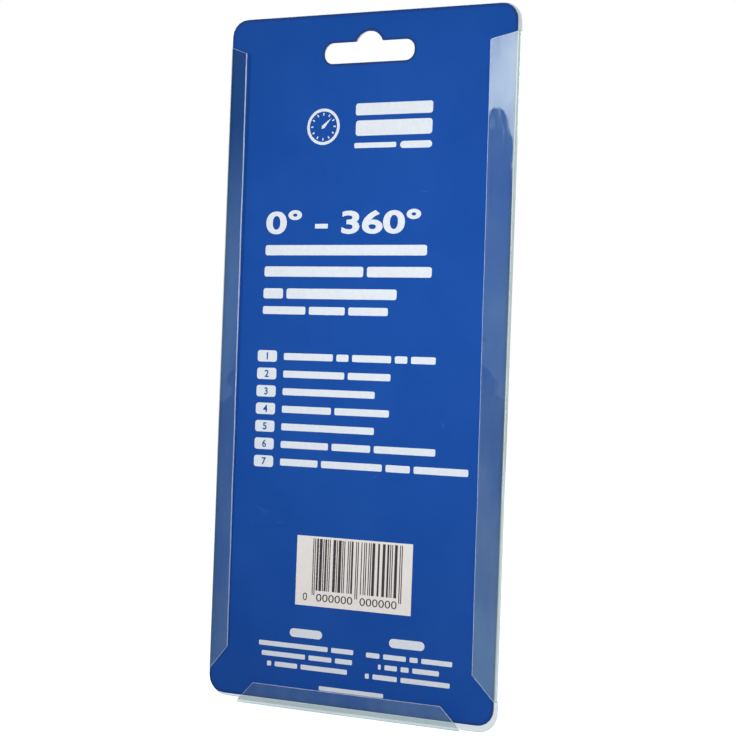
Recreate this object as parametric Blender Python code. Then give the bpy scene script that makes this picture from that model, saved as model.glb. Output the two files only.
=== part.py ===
"""A torque angle gauge in its retail pack: a printed card that slides into a folded clear blister.

Metres. +Z runs up the pack, -Y is the bubble side and +Y the printed back. The origin is the top of
the hang slot, where a display hook bears. Depths are counted from the card's front, towards -Y.
"""

import math

import bmesh
import bpy
from mathutils import Matrix, Vector

# The pack's outline and its hang slot
PACK_WIDTH = 0.105
PACK_HEIGHT = 0.230
PACK_CORNER = 0.0065
SLOT_BELOW_TOP = 0.0068
SLOT_WIDTH = 0.0325
SLOT_HEIGHT = 0.007
SLOT_CORNER = 0.0032
SLOT_BUMP_RADIUS = 0.005
SLOT_BUMP_RISE = 0.0033

# The card and its room in the blister
CARD_THICKNESS = 0.0005
CARD_CORNER = 0.0055
CARD_SIDE_INSET = 0.0012
CARD_TOP_INSET = 0.0006
CARD_BOTTOM_INSET = 0.0028

# Allowances used all over: between pieces at rest, for pieces that turn, for pieces that seat,
# for shapes that join and for cutters that run past a surface
GAP = 0.0003
RUNNING_PLAY = 0.0002
SEAT_PLAY = 0.0001
MERGE = 0.0007
OVERCUT = 0.0020
EDGE_BREAK = 0.0005

# The blister's sheet, its folds and the flaps that hold the card
SHEET = 0.0005
FOLD_SHEET = 0.0004
FOLD_TONGUE = 0.0015
FOLD_BITE = 0.00005
NOTCH_CORNER = 0.0004
SIDE_FLAP_TOP_WIDTH = 0.0087
SIDE_FLAP_FOOT_WIDTH = 0.0083
SIDE_FLAP_TOP_TILT = math.radians(23)
SIDE_FLAP_FOOT_TILT = math.radians(6)
SIDE_FOLD_FROM_TOP = 0.0098
SIDE_EDGE_FROM_TOP = 0.0127
SIDE_FOLD_FROM_FOOT = 0.0108
SIDE_EDGE_FROM_FOOT = 0.0186
FOOT_FLAP_HEIGHT = 0.0076
FOOT_FLAP_TILT = math.radians(7)
FOOT_FOLD_FROM_SIDE = 0.0123
FOOT_EDGE_FROM_SIDE = 0.0187

# The bubble
WALL_ROUND = 0.0012
WALL_DRAFT = math.radians(3)
DISC_POCKET_CLEARANCE = 0.0006
TURRET_CLEARANCE = 0.0008
CHANNEL_CLEARANCE = 0.0008
MAGNET_POCKET_CLEARANCE = 0.0016
ISLAND_FLOOR = 0.0016
ISLAND_FROM_DISC = 0.0060

# The drive: a half-inch square each side of a round hub
DRIVE_SQUARE = 0.0127
DRIVE_TIP_CHAMFER = 0.0010
DRIVE_CORNER = 0.0008
MALE_LENGTH = 0.0152
SOCKET_SQUARE = 0.01285
SOCKET_DEPTH = 0.0165
SOCKET_MOUTH = 0.0008
SOCKET_CORNER = 0.0005
COLLAR_RADIUS = 0.0160
COLLAR_THICKNESS = 0.0020
JOURNAL_RADIUS = 0.0130
HUB_RADIUS = 0.0128
HUB_EDGE = 0.0008
HUB_RISE = 0.0150
CIRCLIP_WIDTH = 0.0028
CIRCLIP_THICKNESS = 0.0010
CIRCLIP_GROOVE = 0.0007
CIRCLIP_GAP = math.radians(32)
CIRCLIP_TURN = math.radians(70)
SOCKET_DETENT_RADIUS = 0.0020
SOCKET_DETENT_DEPTH = 0.0043

# The sprung ball in the drive's square
BALL_RADIUS = 0.00215
BALL_RISE = 0.0009
BALL_CLEARANCE = 0.0002
BALL_FROM_TIP = 0.0068
BALL_SHOULDER = 0.0009
SPRING_RADIUS = 0.00145
SPRING_WIRE = 0.00030
SPRING_TURNS = 4
SPRING_LENGTH = 0.0042

# The dial that the arm holds still
DIAL_RADIUS = 0.0374
DIAL_FLOOR = 0.0021
DIAL_WALL = 0.0022
DIAL_WALL_RISE = 0.0057
DIAL_RIB_HEIGHT = 0.0013
DIAL_RIB_THICKNESS = 0.0012
DIAL_RIB_COUNT = 12
DIAL_RIB_INSET = 0.0015
DIAL_EDGE = 0.0006
BUSH_WALL = 0.0014
SCALE_THICKNESS = 0.0010
BEZEL_THICKNESS = 0.0015
BEZEL_LIP = 0.0030
BEZEL_SKIRT = 0.0012
BEZEL_SKIRT_DROP = 0.0048
BEZEL_EDGE = 0.0007
BEZEL_BEVEL = 0.0009
SCREW_COUNT = 3
SCREW_HEAD_RADIUS = 0.0019
SCREW_HEAD_HEIGHT = 0.0011
SCREW_SHANK_RADIUS = 0.0009
SCREW_PITCH_RADIUS = 0.0210
SCREW_SLOT_LENGTH = 0.0032
SCREW_SLOT_WIDTH = 0.0004

# The pointer that the drive carries round
KNOB_RADIUS = 0.0178
KNOB_HEIGHT = 0.0062
KNOB_RIBS = 32
KNOB_RIB_DEPTH = 0.0007
KNOB_TOP_EDGE = 0.0008
RING_WIRE = 0.0008
NEEDLE_THICKNESS = 0.0008
NEEDLE_TIP_RADIUS = 0.0318
NEEDLE_ROOT_WIDTH = 0.0090
NEEDLE_TIP_WIDTH = 0.0012
NEEDLE_TIP_CORNER = 0.0004
RIVET_RADIUS = 0.0009
RIVET_DEPTH = 0.0019
RIVET_TURN = math.radians(42)

# The flexible arm and its magnet
ARM_RADIUS = 0.0035
ARM_RIB = 0.0005
ARM_RIB_PITCH = 0.0033
ARM_DEPTH = 0.0120
ARM_SPREAD = 0.0220
ARM_TOP = -0.0400
FREE_END_SHARE = 0.541
BOSS_SIDE = 0.0140
BOSS_CORNER = 0.0030
BOSS_FROM_CENTRE = 0.0200
BOSS_LENGTH = 0.0220
FERRULE_WALL = 0.0007
FERRULE_LENGTH = 0.0160
FERRULE_SHOWN = 0.0060
FERRULE_FLOOR = 0.0035
FERRULE_LIP = 0.0008
SET_SCREW_RADIUS = 0.0015
SET_SCREW_SUNK = 0.0006
HEX_SHARE = 0.55
HEX_DEPTH = 0.0010
MAGNET_RADIUS = 0.0090
MAGNET_CUP_LENGTH = 0.0120
MAGNET_CUP_WALL = 0.0014
MAGNET_CUP_BASE = 0.0036
MAGNET_STUD_RADIUS = 0.0030
MAGNET_SEAT = 0.0060
MAGNET_EDGE = 0.0015
MAGNET_PROUD = 0.0004

# Where the dial's axis stands, and the smoothness of round shapes
DIAL_ABOVE_FOOT = 0.0554
SMOOTH_ANGLE = math.radians(32)
TURN_STEPS = 40
TURRET_STEPS = 32
BEND_STEPS = 18
SMALL_STEPS = 12
CORNER_STEPS = 5
ROUND_STEPS = 2
FOLD_STEPS = 7
FOLD_ROWS = 4

PACK_TOP = SLOT_BELOW_TOP
PACK_FOOT = PACK_TOP - PACK_HEIGHT
DIAL_Z = PACK_FOOT + DIAL_ABOVE_FOOT
CARD_MIDDLE = CARD_THICKNESS / 2
FLANGE_FRONT = -GAP - SHEET
FLANGE_MIDDLE = -GAP - SHEET / 2
FOLD_RADIUS = CARD_MIDDLE - FLANGE_MIDDLE
FOLD_OUTER = FOLD_RADIUS + FOLD_SHEET / 2

# Depths of the gauge's parts, from the card's front
MALE_TIP = GAP + RUNNING_PLAY
COLLAR_BACK = MALE_TIP + MALE_LENGTH
COLLAR_FRONT = COLLAR_BACK + COLLAR_THICKNESS
DIAL_BACK = COLLAR_FRONT + GAP
FLOOR_FRONT = DIAL_BACK + DIAL_FLOOR
SCALE_BACK = FLOOR_FRONT + GAP
SCALE_FRONT = SCALE_BACK + SCALE_THICKNESS
WALL_FRONT = DIAL_BACK + DIAL_WALL_RISE
BEZEL_BACK = WALL_FRONT + GAP
BEZEL_FRONT = BEZEL_BACK + BEZEL_THICKNESS
CIRCLIP_BACK = SCALE_FRONT + GAP
CIRCLIP_FRONT = CIRCLIP_BACK + CIRCLIP_THICKNESS
NEEDLE_BACK = CIRCLIP_FRONT + GAP
NEEDLE_FRONT = NEEDLE_BACK + NEEDLE_THICKNESS
KNOB_BACK = NEEDLE_FRONT + GAP
KNOB_FRONT = KNOB_BACK + KNOB_HEIGHT
HUB_FRONT = CIRCLIP_FRONT + HUB_RISE
RING_DEPTH = (KNOB_BACK + KNOB_FRONT) / 2

BUSH_INNER = JOURNAL_RADIUS + RUNNING_PLAY
BUSH_OUTER = BUSH_INNER + BUSH_WALL
DIAL_BORE = BUSH_OUTER + GAP
CIRCLIP_INNER = JOURNAL_RADIUS - CIRCLIP_GROOVE + RUNNING_PLAY
CIRCLIP_OUTER = CIRCLIP_INNER + CIRCLIP_WIDTH
WALL_OUTER = DIAL_RADIUS - BEZEL_SKIRT - GAP
WALL_INNER = WALL_OUTER - DIAL_WALL
SCALE_OUTER = WALL_INNER - GAP
SCALE_INNER = CIRCLIP_OUTER + GAP
RING_RADIUS = HUB_RADIUS - GAP
KNOB_BORE = HUB_RADIUS + GAP
ARC_Z = ARM_TOP - ARM_SPREAD
BOSS_FOOT = DIAL_Z + BOSS_FROM_CENTRE
BOSS_TOP = BOSS_FOOT + BOSS_LENGTH
FERRULE_BORE = ARM_RADIUS + GAP
FERRULE_RADIUS = FERRULE_BORE + FERRULE_WALL

# The ferrule and magnet hang at a share of the way from the arm's bend to the dial's rim
FREE_END_MIDDLE = ARC_Z - (ARC_Z - DIAL_Z - DIAL_RADIUS) * FREE_END_SHARE
FREE_END_Z = FREE_END_MIDDLE + (MAGNET_SEAT + MAGNET_CUP_LENGTH - FERRULE_SHOWN) / 2


def clear_scene():
    for obj in list(bpy.data.objects):
        bpy.data.objects.remove(obj, do_unlink=True)


def material(name, colour, roughness, metallic=0.0, alpha=1.0):
    made = bpy.data.materials.new(name)
    made.use_nodes = True
    shader = made.node_tree.nodes["Principled BSDF"]
    shader.inputs["Base Color"].default_value = (*colour, 1.0)
    shader.inputs["Roughness"].default_value = roughness
    shader.inputs["Metallic"].default_value = metallic
    shader.inputs["Alpha"].default_value = alpha
    return made


def make_object(name, bm, finish, location=(0, 0, 0)):
    """Turns a bmesh into a named object with outward faces."""
    bmesh.ops.recalc_face_normals(bm, faces=bm.faces)
    mesh = bpy.data.meshes.new(name)
    bm.to_mesh(mesh)
    bm.free()
    mesh.materials.append(finish)
    obj = bpy.data.objects.new(name, mesh)
    obj.location = location
    bpy.context.scene.collection.objects.link(obj)
    return obj


def as_cutter(obj):
    """A helper shape: shown as wire, and left out of the finished part."""
    obj.display_type = "WIRE"
    obj.hide_render = True
    return obj


def combine(obj, other, operation):
    """Adds a Boolean of a helper to an object, with the exact solver."""
    modifier = obj.modifiers.new(f"{operation.lower()} {other.name}", "BOOLEAN")
    modifier.operation = operation
    modifier.object = as_cutter(other)
    modifier.solver = "EXACT"
    return obj


def cut(obj, other):
    return combine(obj, other, "DIFFERENCE")


def join(obj, other):
    return combine(obj, other, "UNION")


def arc(centre, radius, start, end, steps):
    """Points along an arc, both ends included."""
    turn = (end - start) / steps
    angles = [start + turn * i for i in range(steps + 1)]
    return [(centre[0] + radius * math.cos(a), centre[1] + radius * math.sin(a)) for a in angles]


def circle(radius, steps, centre=(0.0, 0.0)):
    return arc(centre, radius, 0.0, 2 * math.pi, steps)[:-1]


def rounded(corners, steps=CORNER_STEPS):
    """An outline from (x, y, radius) corners, in order, with each corner rounded to its radius."""
    outline = []
    for i, (x, y, radius) in enumerate(corners):
        here = Vector((x, y))
        before = (Vector(corners[i - 1][:2]) - here).normalized()
        after = (Vector(corners[(i + 1) % len(corners)][:2]) - here).normalized()
        if radius <= 0:
            outline.append((x, y))
            continue
        half = before.angle(after) / 2
        start = here + before * (radius / math.tan(half))
        centre = here + (before + after).normalized() * (radius / math.sin(half))
        first = start - centre
        turn = math.pi - 2 * half
        if before.x * after.y - before.y * after.x > 0:
            turn = -turn
        for k in range(steps + 1):
            point = centre + Matrix.Rotation(turn * k / steps, 2) @ first
            outline.append((point.x, point.y))
    return outline


def rectangle(left, right, low, high, radius):
    return [(left, low, radius), (right, low, radius), (right, high, radius), (left, high, radius)]


def facing_back(u, v, w):
    """Outline in X and Z, extruded along Y."""
    return (u, w, v)


def lying_flat(u, v, w):
    """Outline in X and Y, extruded along Z."""
    return (u, v, w)


def prism(name, outline, start, end, finish, place=facing_back, location=(0, 0, 0)):
    """A flat outline extruded from start to end along the axis that place leaves free."""
    bm = bmesh.new()
    face = bm.faces.new([bm.verts.new(place(u, v, start)) for u, v in outline])
    made = bmesh.ops.extrude_face_region(bm, geom=[face])
    tops = [v for v in made["geom"] if isinstance(v, bmesh.types.BMVert)]
    step = Vector(place(0, 0, end)) - Vector(place(0, 0, start))
    bmesh.ops.translate(bm, vec=step, verts=tops)
    return make_object(name, bm, finish, location)


def loft(name, loops, finish, location=(0, 0, 0), ring=False):
    """A closed skin through loops of equal length. Its ends are capped, unless it closes as a ring."""
    bm = bmesh.new()
    rows = [[bm.verts.new(point) for point in loop] for loop in loops]
    pairs = list(zip(rows, rows[1:] + rows[:1])) if ring else list(zip(rows, rows[1:]))
    for low, high in pairs:
        count = len(low)
        for i in range(count):
            j = (i + 1) % count
            bm.faces.new((low[i], low[j], high[j], high[i]))
    if not ring:
        bm.faces.new(rows[0])
        bm.faces.new(rows[-1])
    return make_object(name, bm, finish, location)


def turned(name, profile, finish, closed=True, steps=TURN_STEPS, location=(0, 0, 0)):
    """A profile of (radius, depth) points spun about the Y axis.

    A closed profile makes a ring. An open one starts and ends on the axis.
    """
    bm = bmesh.new()
    verts = [bm.verts.new((radius, -depth, 0)) for radius, depth in profile]
    edges = [bm.edges.new(pair) for pair in zip(verts, verts[1:])]
    if closed:
        edges.append(bm.edges.new((verts[-1], verts[0])))
    bmesh.ops.spin(
        bm,
        geom=verts + edges,
        cent=(0, 0, 0),
        axis=(0, 1, 0),
        angle=2 * math.pi,
        steps=steps,
        use_merge=True,
    )
    bmesh.ops.remove_doubles(bm, verts=bm.verts, dist=1e-6)
    return make_object(name, bm, finish, location)


def upright(name, profile, finish, closed, location, steps=2 * SMALL_STEPS):
    """A turned piece whose axis stands along Z: depth in the profile becomes height."""
    obj = turned(name, profile, finish, closed, steps, location)
    obj.rotation_euler = (-math.pi / 2, 0, 0)
    return obj


def slot_outline(grow=0.0):
    """The hang slot: a long hole with a round bump in the middle of its upper edge."""
    top = -SLOT_BUMP_RISE
    half = SLOT_WIDTH / 2 + grow
    radius = SLOT_BUMP_RADIUS + grow
    bump_centre = (0.0, -SLOT_BUMP_RADIUS)
    half_chord = math.sqrt(radius**2 - (top + grow - bump_centre[1]) ** 2)
    reach = math.atan2(top + grow - bump_centre[1], half_chord)
    corners = rectangle(-half, half, top - SLOT_HEIGHT - grow, top + grow, SLOT_CORNER + grow)
    outline = rounded(corners)
    bump = arc(bump_centre, radius, reach, math.pi - reach, 2 * CORNER_STEPS)
    cut_in = 3 * (CORNER_STEPS + 1)
    return outline[:cut_in] + bump + outline[cut_in:]


def card():
    half = PACK_WIDTH / 2 - CARD_SIDE_INSET
    low = PACK_FOOT + CARD_BOTTOM_INSET
    high = PACK_TOP - CARD_TOP_INSET
    outline = rounded(rectangle(-half, half, low, high, CARD_CORNER))
    board = prism("backing_card", outline, 0.0, CARD_THICKNESS, PRINTED_CARD)
    hole = prism("card_slot_cutter", slot_outline(), -OVERCUT, CARD_THICKNESS + OVERCUT, PRINTED_CARD)
    return cut(board, hole)


def flange():
    """The blister's flat sheet in front of the card, set back where the folds begin."""
    half = PACK_WIDTH / 2
    set_in = half - FOLD_OUTER + FOLD_BITE
    corner = NOTCH_CORNER
    side_high = PACK_TOP - SIDE_FOLD_FROM_TOP
    side_low = PACK_FOOT + SIDE_FOLD_FROM_FOOT
    foot_side = half - FOOT_FOLD_FROM_SIDE
    foot_in = PACK_FOOT + FOLD_OUTER - FOLD_BITE
    right = [
        (foot_side, foot_in, corner),
        (foot_side, PACK_FOOT, corner),
        (half, PACK_FOOT, PACK_CORNER),
        (half, side_low, corner),
        (set_in, side_low, corner),
        (set_in, side_high, corner),
        (half, side_high, corner),
        (half, PACK_TOP, PACK_CORNER),
    ]
    left = [(-x, z, radius) for x, z, radius in reversed(right)]
    outline = rounded(right + left, 4)
    return prism("blister_shell", outline, FLANGE_FRONT, -GAP, CLEAR_SHEET)


def fold_section(tilt, width):
    """The cross-section of a fold as (out from the pack's edge, y, normal) along the sheet's middle.

    It runs from a tongue in the flange, round the bend, to the flap's free edge.
    """
    centre = -FOLD_OUTER
    section = [(centre - FOLD_TONGUE, FLANGE_MIDDLE, (0.0, -1.0))]
    for i in range(FOLD_STEPS + 1):
        angle = -math.pi / 2 + (math.pi - tilt) * i / FOLD_STEPS
        normal = (math.cos(angle), math.sin(angle))
        out = centre + FOLD_RADIUS * normal[0]
        section.append((out, CARD_MIDDLE + FOLD_RADIUS * normal[1], normal))
    out, back, normal = section[-1]
    length = (width + out) / math.cos(tilt)
    section.append((out - length * math.cos(tilt), back + length * math.sin(tilt), normal))
    return section


def fold(name, point, ends, tilts, widths):
    """One folded edge of the blister, with its flap.

    point(out, back, along) gives a place. ends gives the fold's and the free edge's two ends along
    the pack. tilts and widths hold their values at the first and the last end.
    """
    (fold_low, fold_high), (edge_low, edge_high) = ends
    loops = []
    for row in range(FOLD_ROWS + 1):
        share = row / FOLD_ROWS
        tilt = tilts[0] + (tilts[1] - tilts[0]) * share
        width = widths[0] + (widths[1] - widths[0]) * share
        section = fold_section(tilt, width)
        front, back = [], []
        for i, (out, depth, normal) in enumerate(section):
            mitre = 1.0 if i == len(section) - 1 else 0.0
            low = fold_low + (edge_low - fold_low) * mitre
            high = fold_high + (edge_high - fold_high) * mitre
            along = low + (high - low) * share
            half = FOLD_SHEET / 2
            front.append(point(out + normal[0] * half, depth + normal[1] * half, along))
            back.append(point(out - normal[0] * half, depth - normal[1] * half, along))
        loops.append(front + back[::-1])
    return loft(name, loops, CLEAR_SHEET)


def folds():
    """The two side folds and the foot fold."""
    half = PACK_WIDTH / 2
    side_ends = (
        (PACK_FOOT + SIDE_FOLD_FROM_FOOT, PACK_TOP - SIDE_FOLD_FROM_TOP),
        (PACK_FOOT + SIDE_EDGE_FROM_FOOT, PACK_TOP - SIDE_EDGE_FROM_TOP),
    )
    tilts = (SIDE_FLAP_FOOT_TILT, SIDE_FLAP_TOP_TILT)
    widths = (SIDE_FLAP_FOOT_WIDTH, SIDE_FLAP_TOP_WIDTH)
    made = [
        fold("side_fold_left", lambda o, b, z: (-half - o, b, z), side_ends, tilts, widths),
        fold("side_fold_right", lambda o, b, z: (half + o, b, z), side_ends, tilts, widths),
    ]
    foot = half - FOOT_FOLD_FROM_SIDE
    edge = half - FOOT_EDGE_FROM_SIDE
    foot_ends = ((-foot, foot), (-edge, edge))
    tilts = (FOOT_FLAP_TILT, FOOT_FLAP_TILT)
    widths = (FOOT_FLAP_HEIGHT, FOOT_FLAP_HEIGHT)
    made.append(fold("foot_fold", lambda o, b, x: (x, b, PACK_FOOT - o), foot_ends, tilts, widths))
    return made


def mould(name, outline, depth, start):
    """A drafted plug for the bubble, from the flange to a depth, with its far edge rounded.

    outline(inset) gives the loop in X and Z.
    """
    slope = math.tan(WALL_DRAFT)
    wall_end = depth - WALL_ROUND
    levels = [(start, 0.0)]
    levels.append((wall_end, slope * (wall_end - start)))
    base = levels[-1][1]
    for i in range(1, ROUND_STEPS + 1):
        angle = math.pi / 2 * i / ROUND_STEPS
        levels.append(
            (
                wall_end + WALL_ROUND * math.sin(angle),
                base + WALL_ROUND * (1 - math.cos(angle)),
            )
        )
    loops = [[(x, -d, z) for x, z in outline(inset)] for d, inset in levels]
    return loft(name, loops, CLEAR_SHEET)


def pocket(tag, shrink, start):
    """The bubble's solid form, smaller all over by shrink: channel, disc, turret and magnet pocket."""
    drafted = math.tan(WALL_DRAFT)
    channel_top = ARM_DEPTH + BOSS_SIDE / 2 + GAP + 2 * SHEET - shrink
    channel_half = BOSS_SIDE / 2 + CHANNEL_CLEARANCE + SHEET + drafted * (ARM_DEPTH + BOSS_SIDE / 2)
    disc_top = BEZEL_FRONT + DISC_POCKET_CLEARANCE + SHEET - shrink
    turret_top = HUB_FRONT + GAP + SHEET - shrink
    magnet_top = ARM_DEPTH + MAGNET_RADIUS + GAP + 2 * SHEET - shrink
    disc_base = DIAL_RADIUS + DISC_POCKET_CLEARANCE + SHEET + drafted * BEZEL_FRONT
    turret_base = KNOB_RADIUS + TURRET_CLEARANCE + SHEET + drafted * KNOB_FRONT

    def channel(inset):
        half = ARM_SPREAD + channel_half - shrink - inset
        over = arc((0.0, ARC_Z), half, 0.0, math.pi, BEND_STEPS)
        return [(half, DIAL_Z), *over, (-half, DIAL_Z)]

    def island(inset):
        half = ARM_SPREAD - channel_half + shrink - inset
        foot = DIAL_Z + disc_base + ISLAND_FROM_DISC - shrink + inset
        over = arc((0.0, ARC_Z), half, 0.0, math.pi, BEND_STEPS)
        under = rounded([(-half, foot, half * 0.4), (half, foot, half * 0.4), (half, ARC_Z, 0.0)], 4)
        return [*over, *under[:-1]]

    def disc(inset):
        return circle(disc_base - shrink - inset, TURN_STEPS, (0.0, DIAL_Z))

    def turret(inset):
        return circle(turret_base - shrink - inset, TURRET_STEPS, (0.0, DIAL_Z))

    def magnet(inset):
        half = MAGNET_RADIUS + MAGNET_POCKET_CLEARANCE + SHEET + drafted * magnet_top - shrink - inset
        high = FREE_END_Z + FERRULE_SHOWN
        low = FREE_END_Z - MAGNET_SEAT - MAGNET_CUP_LENGTH
        low -= half * 0.3
        high += half * 0.3
        return rounded(rectangle(ARM_SPREAD - half, ARM_SPREAD + half, low, high, half * 0.7), 5)

    body = mould(f"channel_{tag}", channel, channel_top, start)
    hollow = mould_recess(f"island_{tag}", island, ISLAND_FLOOR - shrink, channel_top)
    cut(body, hollow)
    join(body, mould(f"disc_{tag}", disc, disc_top, start))
    join(body, mould(f"magnet_{tag}", magnet, magnet_top, start))
    join(body, mould(f"turret_{tag}", turret, turret_top, start))
    return body


def mould_recess(name, outline, floor, top):
    """The island between the arm's legs: a recess that widens from its floor to the bubble's face."""
    slope = math.tan(WALL_DRAFT)
    high = top + OVERCUT
    levels = [(floor, WALL_ROUND), (floor + WALL_ROUND, 0.0), (high, -slope * (high - floor))]
    loops = [[(x, -d, z) for x, z in outline(inset)] for d, inset in levels]
    return loft(name, loops, CLEAR_SHEET)


def blister():
    shell = flange()
    for piece in folds():
        join(shell, piece)
    join(shell, pocket("outer", 0.0, -FLANGE_MIDDLE))
    cut(shell, pocket("inner", SHEET, -OVERCUT))
    hole = prism("shell_slot_cutter", slot_outline(GAP), -OVERCUT, OVERCUT, CLEAR_SHEET)
    return cut(shell, hole)


def drive_shaft():
    """Collar, journal and hub in one forging, with the square and the socket cut to size."""
    ring_room = RING_WIRE + RUNNING_PLAY
    profile = [
        (0.0, COLLAR_BACK),
        (COLLAR_RADIUS - EDGE_BREAK, COLLAR_BACK),
        (COLLAR_RADIUS, COLLAR_BACK + EDGE_BREAK),
        (COLLAR_RADIUS, COLLAR_FRONT),
        (JOURNAL_RADIUS, COLLAR_FRONT),
        (JOURNAL_RADIUS, CIRCLIP_BACK - SEAT_PLAY),
        (JOURNAL_RADIUS - CIRCLIP_GROOVE, CIRCLIP_BACK - SEAT_PLAY),
        (JOURNAL_RADIUS - CIRCLIP_GROOVE, CIRCLIP_FRONT + SEAT_PLAY),
        (HUB_RADIUS, CIRCLIP_FRONT + SEAT_PLAY),
        (HUB_RADIUS, RING_DEPTH - ring_room),
        (RING_RADIUS - ring_room, RING_DEPTH - ring_room),
        (RING_RADIUS - ring_room, RING_DEPTH + ring_room),
        (HUB_RADIUS, RING_DEPTH + ring_room),
        (HUB_RADIUS, HUB_FRONT - HUB_EDGE),
        (HUB_RADIUS - HUB_EDGE, HUB_FRONT),
        (0.0, HUB_FRONT),
    ]
    shaft = turned("drive_shaft", profile, STEEL, closed=False, location=AXIS)
    square = square_loop(DRIVE_SQUARE / 2, DRIVE_CORNER)
    tip = square_loop(DRIVE_SQUARE / 2 - DRIVE_TIP_CHAMFER, DRIVE_CORNER)
    loops = [
        at_depth(tip, MALE_TIP),
        at_depth(square, MALE_TIP + DRIVE_TIP_CHAMFER),
        at_depth(square, COLLAR_BACK + MERGE),
    ]
    join(shaft, loft("male_square", loops, STEEL, AXIS))
    socket = square_loop(SOCKET_SQUARE / 2, SOCKET_CORNER)
    mouth = square_loop(SOCKET_SQUARE / 2 + SOCKET_MOUTH, SOCKET_CORNER)
    loops = [
        at_depth(socket, HUB_FRONT - SOCKET_DEPTH),
        at_depth(socket, HUB_FRONT - SOCKET_MOUTH),
        at_depth(mouth, HUB_FRONT),
        at_depth(mouth, HUB_FRONT + OVERCUT),
    ]
    cut(shaft, loft("socket_cutter", loops, STEEL, AXIS))
    cut(shaft, ball_bore())
    return cut(shaft, socket_detent())


def socket_detent():
    """The hole through the hub's upper wall that a wrench's sprung ball clicks into."""
    radius = SOCKET_DETENT_RADIUS
    profile = [(0.0, -OVERCUT), (radius, -OVERCUT), (radius, HUB_RADIUS), (0.0, HUB_RADIUS)]
    place = (0.0, -(HUB_FRONT - SOCKET_DETENT_DEPTH), DIAL_Z + SOCKET_SQUARE / 2)
    return upright("socket_detent_cutter", profile, STEEL, False, place, SMALL_STEPS)


def square_loop(half, corner):
    return rounded(rectangle(-half, half, -half, half, corner), 3)


def at_depth(loop, depth):
    return [(x, -depth, z) for x, z in loop]


def ball_seat():
    """The ball's centre at rest, on the upper flat of the square."""
    return (0.0, -(MALE_TIP + BALL_FROM_TIP), DIAL_Z + DRIVE_SQUARE / 2 + BALL_RISE - BALL_RADIUS)


def ball_bore():
    """The bore behind the ball, with a lip at the flat that keeps the ball in."""
    x, y, centre = ball_seat()
    bore = BALL_RADIUS + BALL_CLEARANCE
    surface = DIAL_Z + DRIVE_SQUARE / 2 - centre
    lip = math.sqrt(BALL_RADIUS**2 - surface**2) + BALL_CLEARANCE
    shoulder = surface - BALL_SHOULDER
    foot = -(spring_drop() + SPRING_LENGTH - SPRING_WIRE + GAP)
    above = surface + BALL_RISE
    land = surface - BALL_CLEARANCE
    profile = [(0.0, foot), (bore, foot), (bore, shoulder), (lip, land), (lip, above), (0.0, above)]
    return upright("ball_bore_cutter", profile, STEEL, False, (x, y, centre), SMALL_STEPS)


def detent_ball():
    half_turn = arc((0.0, 0.0), BALL_RADIUS, -math.pi / 2, math.pi / 2, SMALL_STEPS // 2)[1:-1]
    profile = [(0.0, -BALL_RADIUS), *half_turn, (0.0, BALL_RADIUS)]
    return upright("detent_ball", profile, STEEL, False, ball_seat(), SMALL_STEPS)


def spring_drop():
    """How far the spring's top turn lies below the ball's centre."""
    return math.sqrt(BALL_RADIUS**2 - SPRING_RADIUS**2) + SPRING_WIRE + BALL_CLEARANCE


def detent_spring():
    """A coil under the ball, from the bore's floor to the ball."""
    x, y, centre = ball_seat()
    top = centre - spring_drop()
    foot = top - SPRING_LENGTH + 2 * SPRING_WIRE
    steps = SPRING_TURNS * 9
    path = []
    for i in range(steps + 1):
        angle = 2 * math.pi * SPRING_TURNS * i / steps
        height = foot + (top - foot) * i / steps
        turn = Vector((SPRING_RADIUS * math.cos(angle), SPRING_RADIUS * math.sin(angle), height))
        path.append(Vector((x, y, 0.0)) + turn)
    return swept("detent_spring", path, [SPRING_WIRE] * len(path), 6, STEEL)


def swept(name, path, radii, sides, finish):
    """A tube through the points of a path, with a radius at each point."""
    loops = []
    across = None
    for i, point in enumerate(path):
        ahead = path[min(i + 1, len(path) - 1)]
        behind = path[max(i - 1, 0)]
        along = (ahead - behind).normalized()
        if across is None:
            across = along.orthogonal().normalized()
        across = (across - along * across.dot(along)).normalized()
        other = along.cross(across)
        ring = []
        for k in range(sides):
            angle = 2 * math.pi * k / sides
            ring.append(point + (across * math.cos(angle) + other * math.sin(angle)) * radii[i])
        loops.append(ring)
    return loft(name, loops, finish)


def journal_bush():
    profile = [
        (BUSH_INNER, DIAL_BACK),
        (BUSH_OUTER, DIAL_BACK),
        (BUSH_OUTER, SCALE_FRONT),
        (BUSH_INNER, SCALE_FRONT),
    ]
    return turned("journal_bush", profile, BRASS, location=AXIS)


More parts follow.
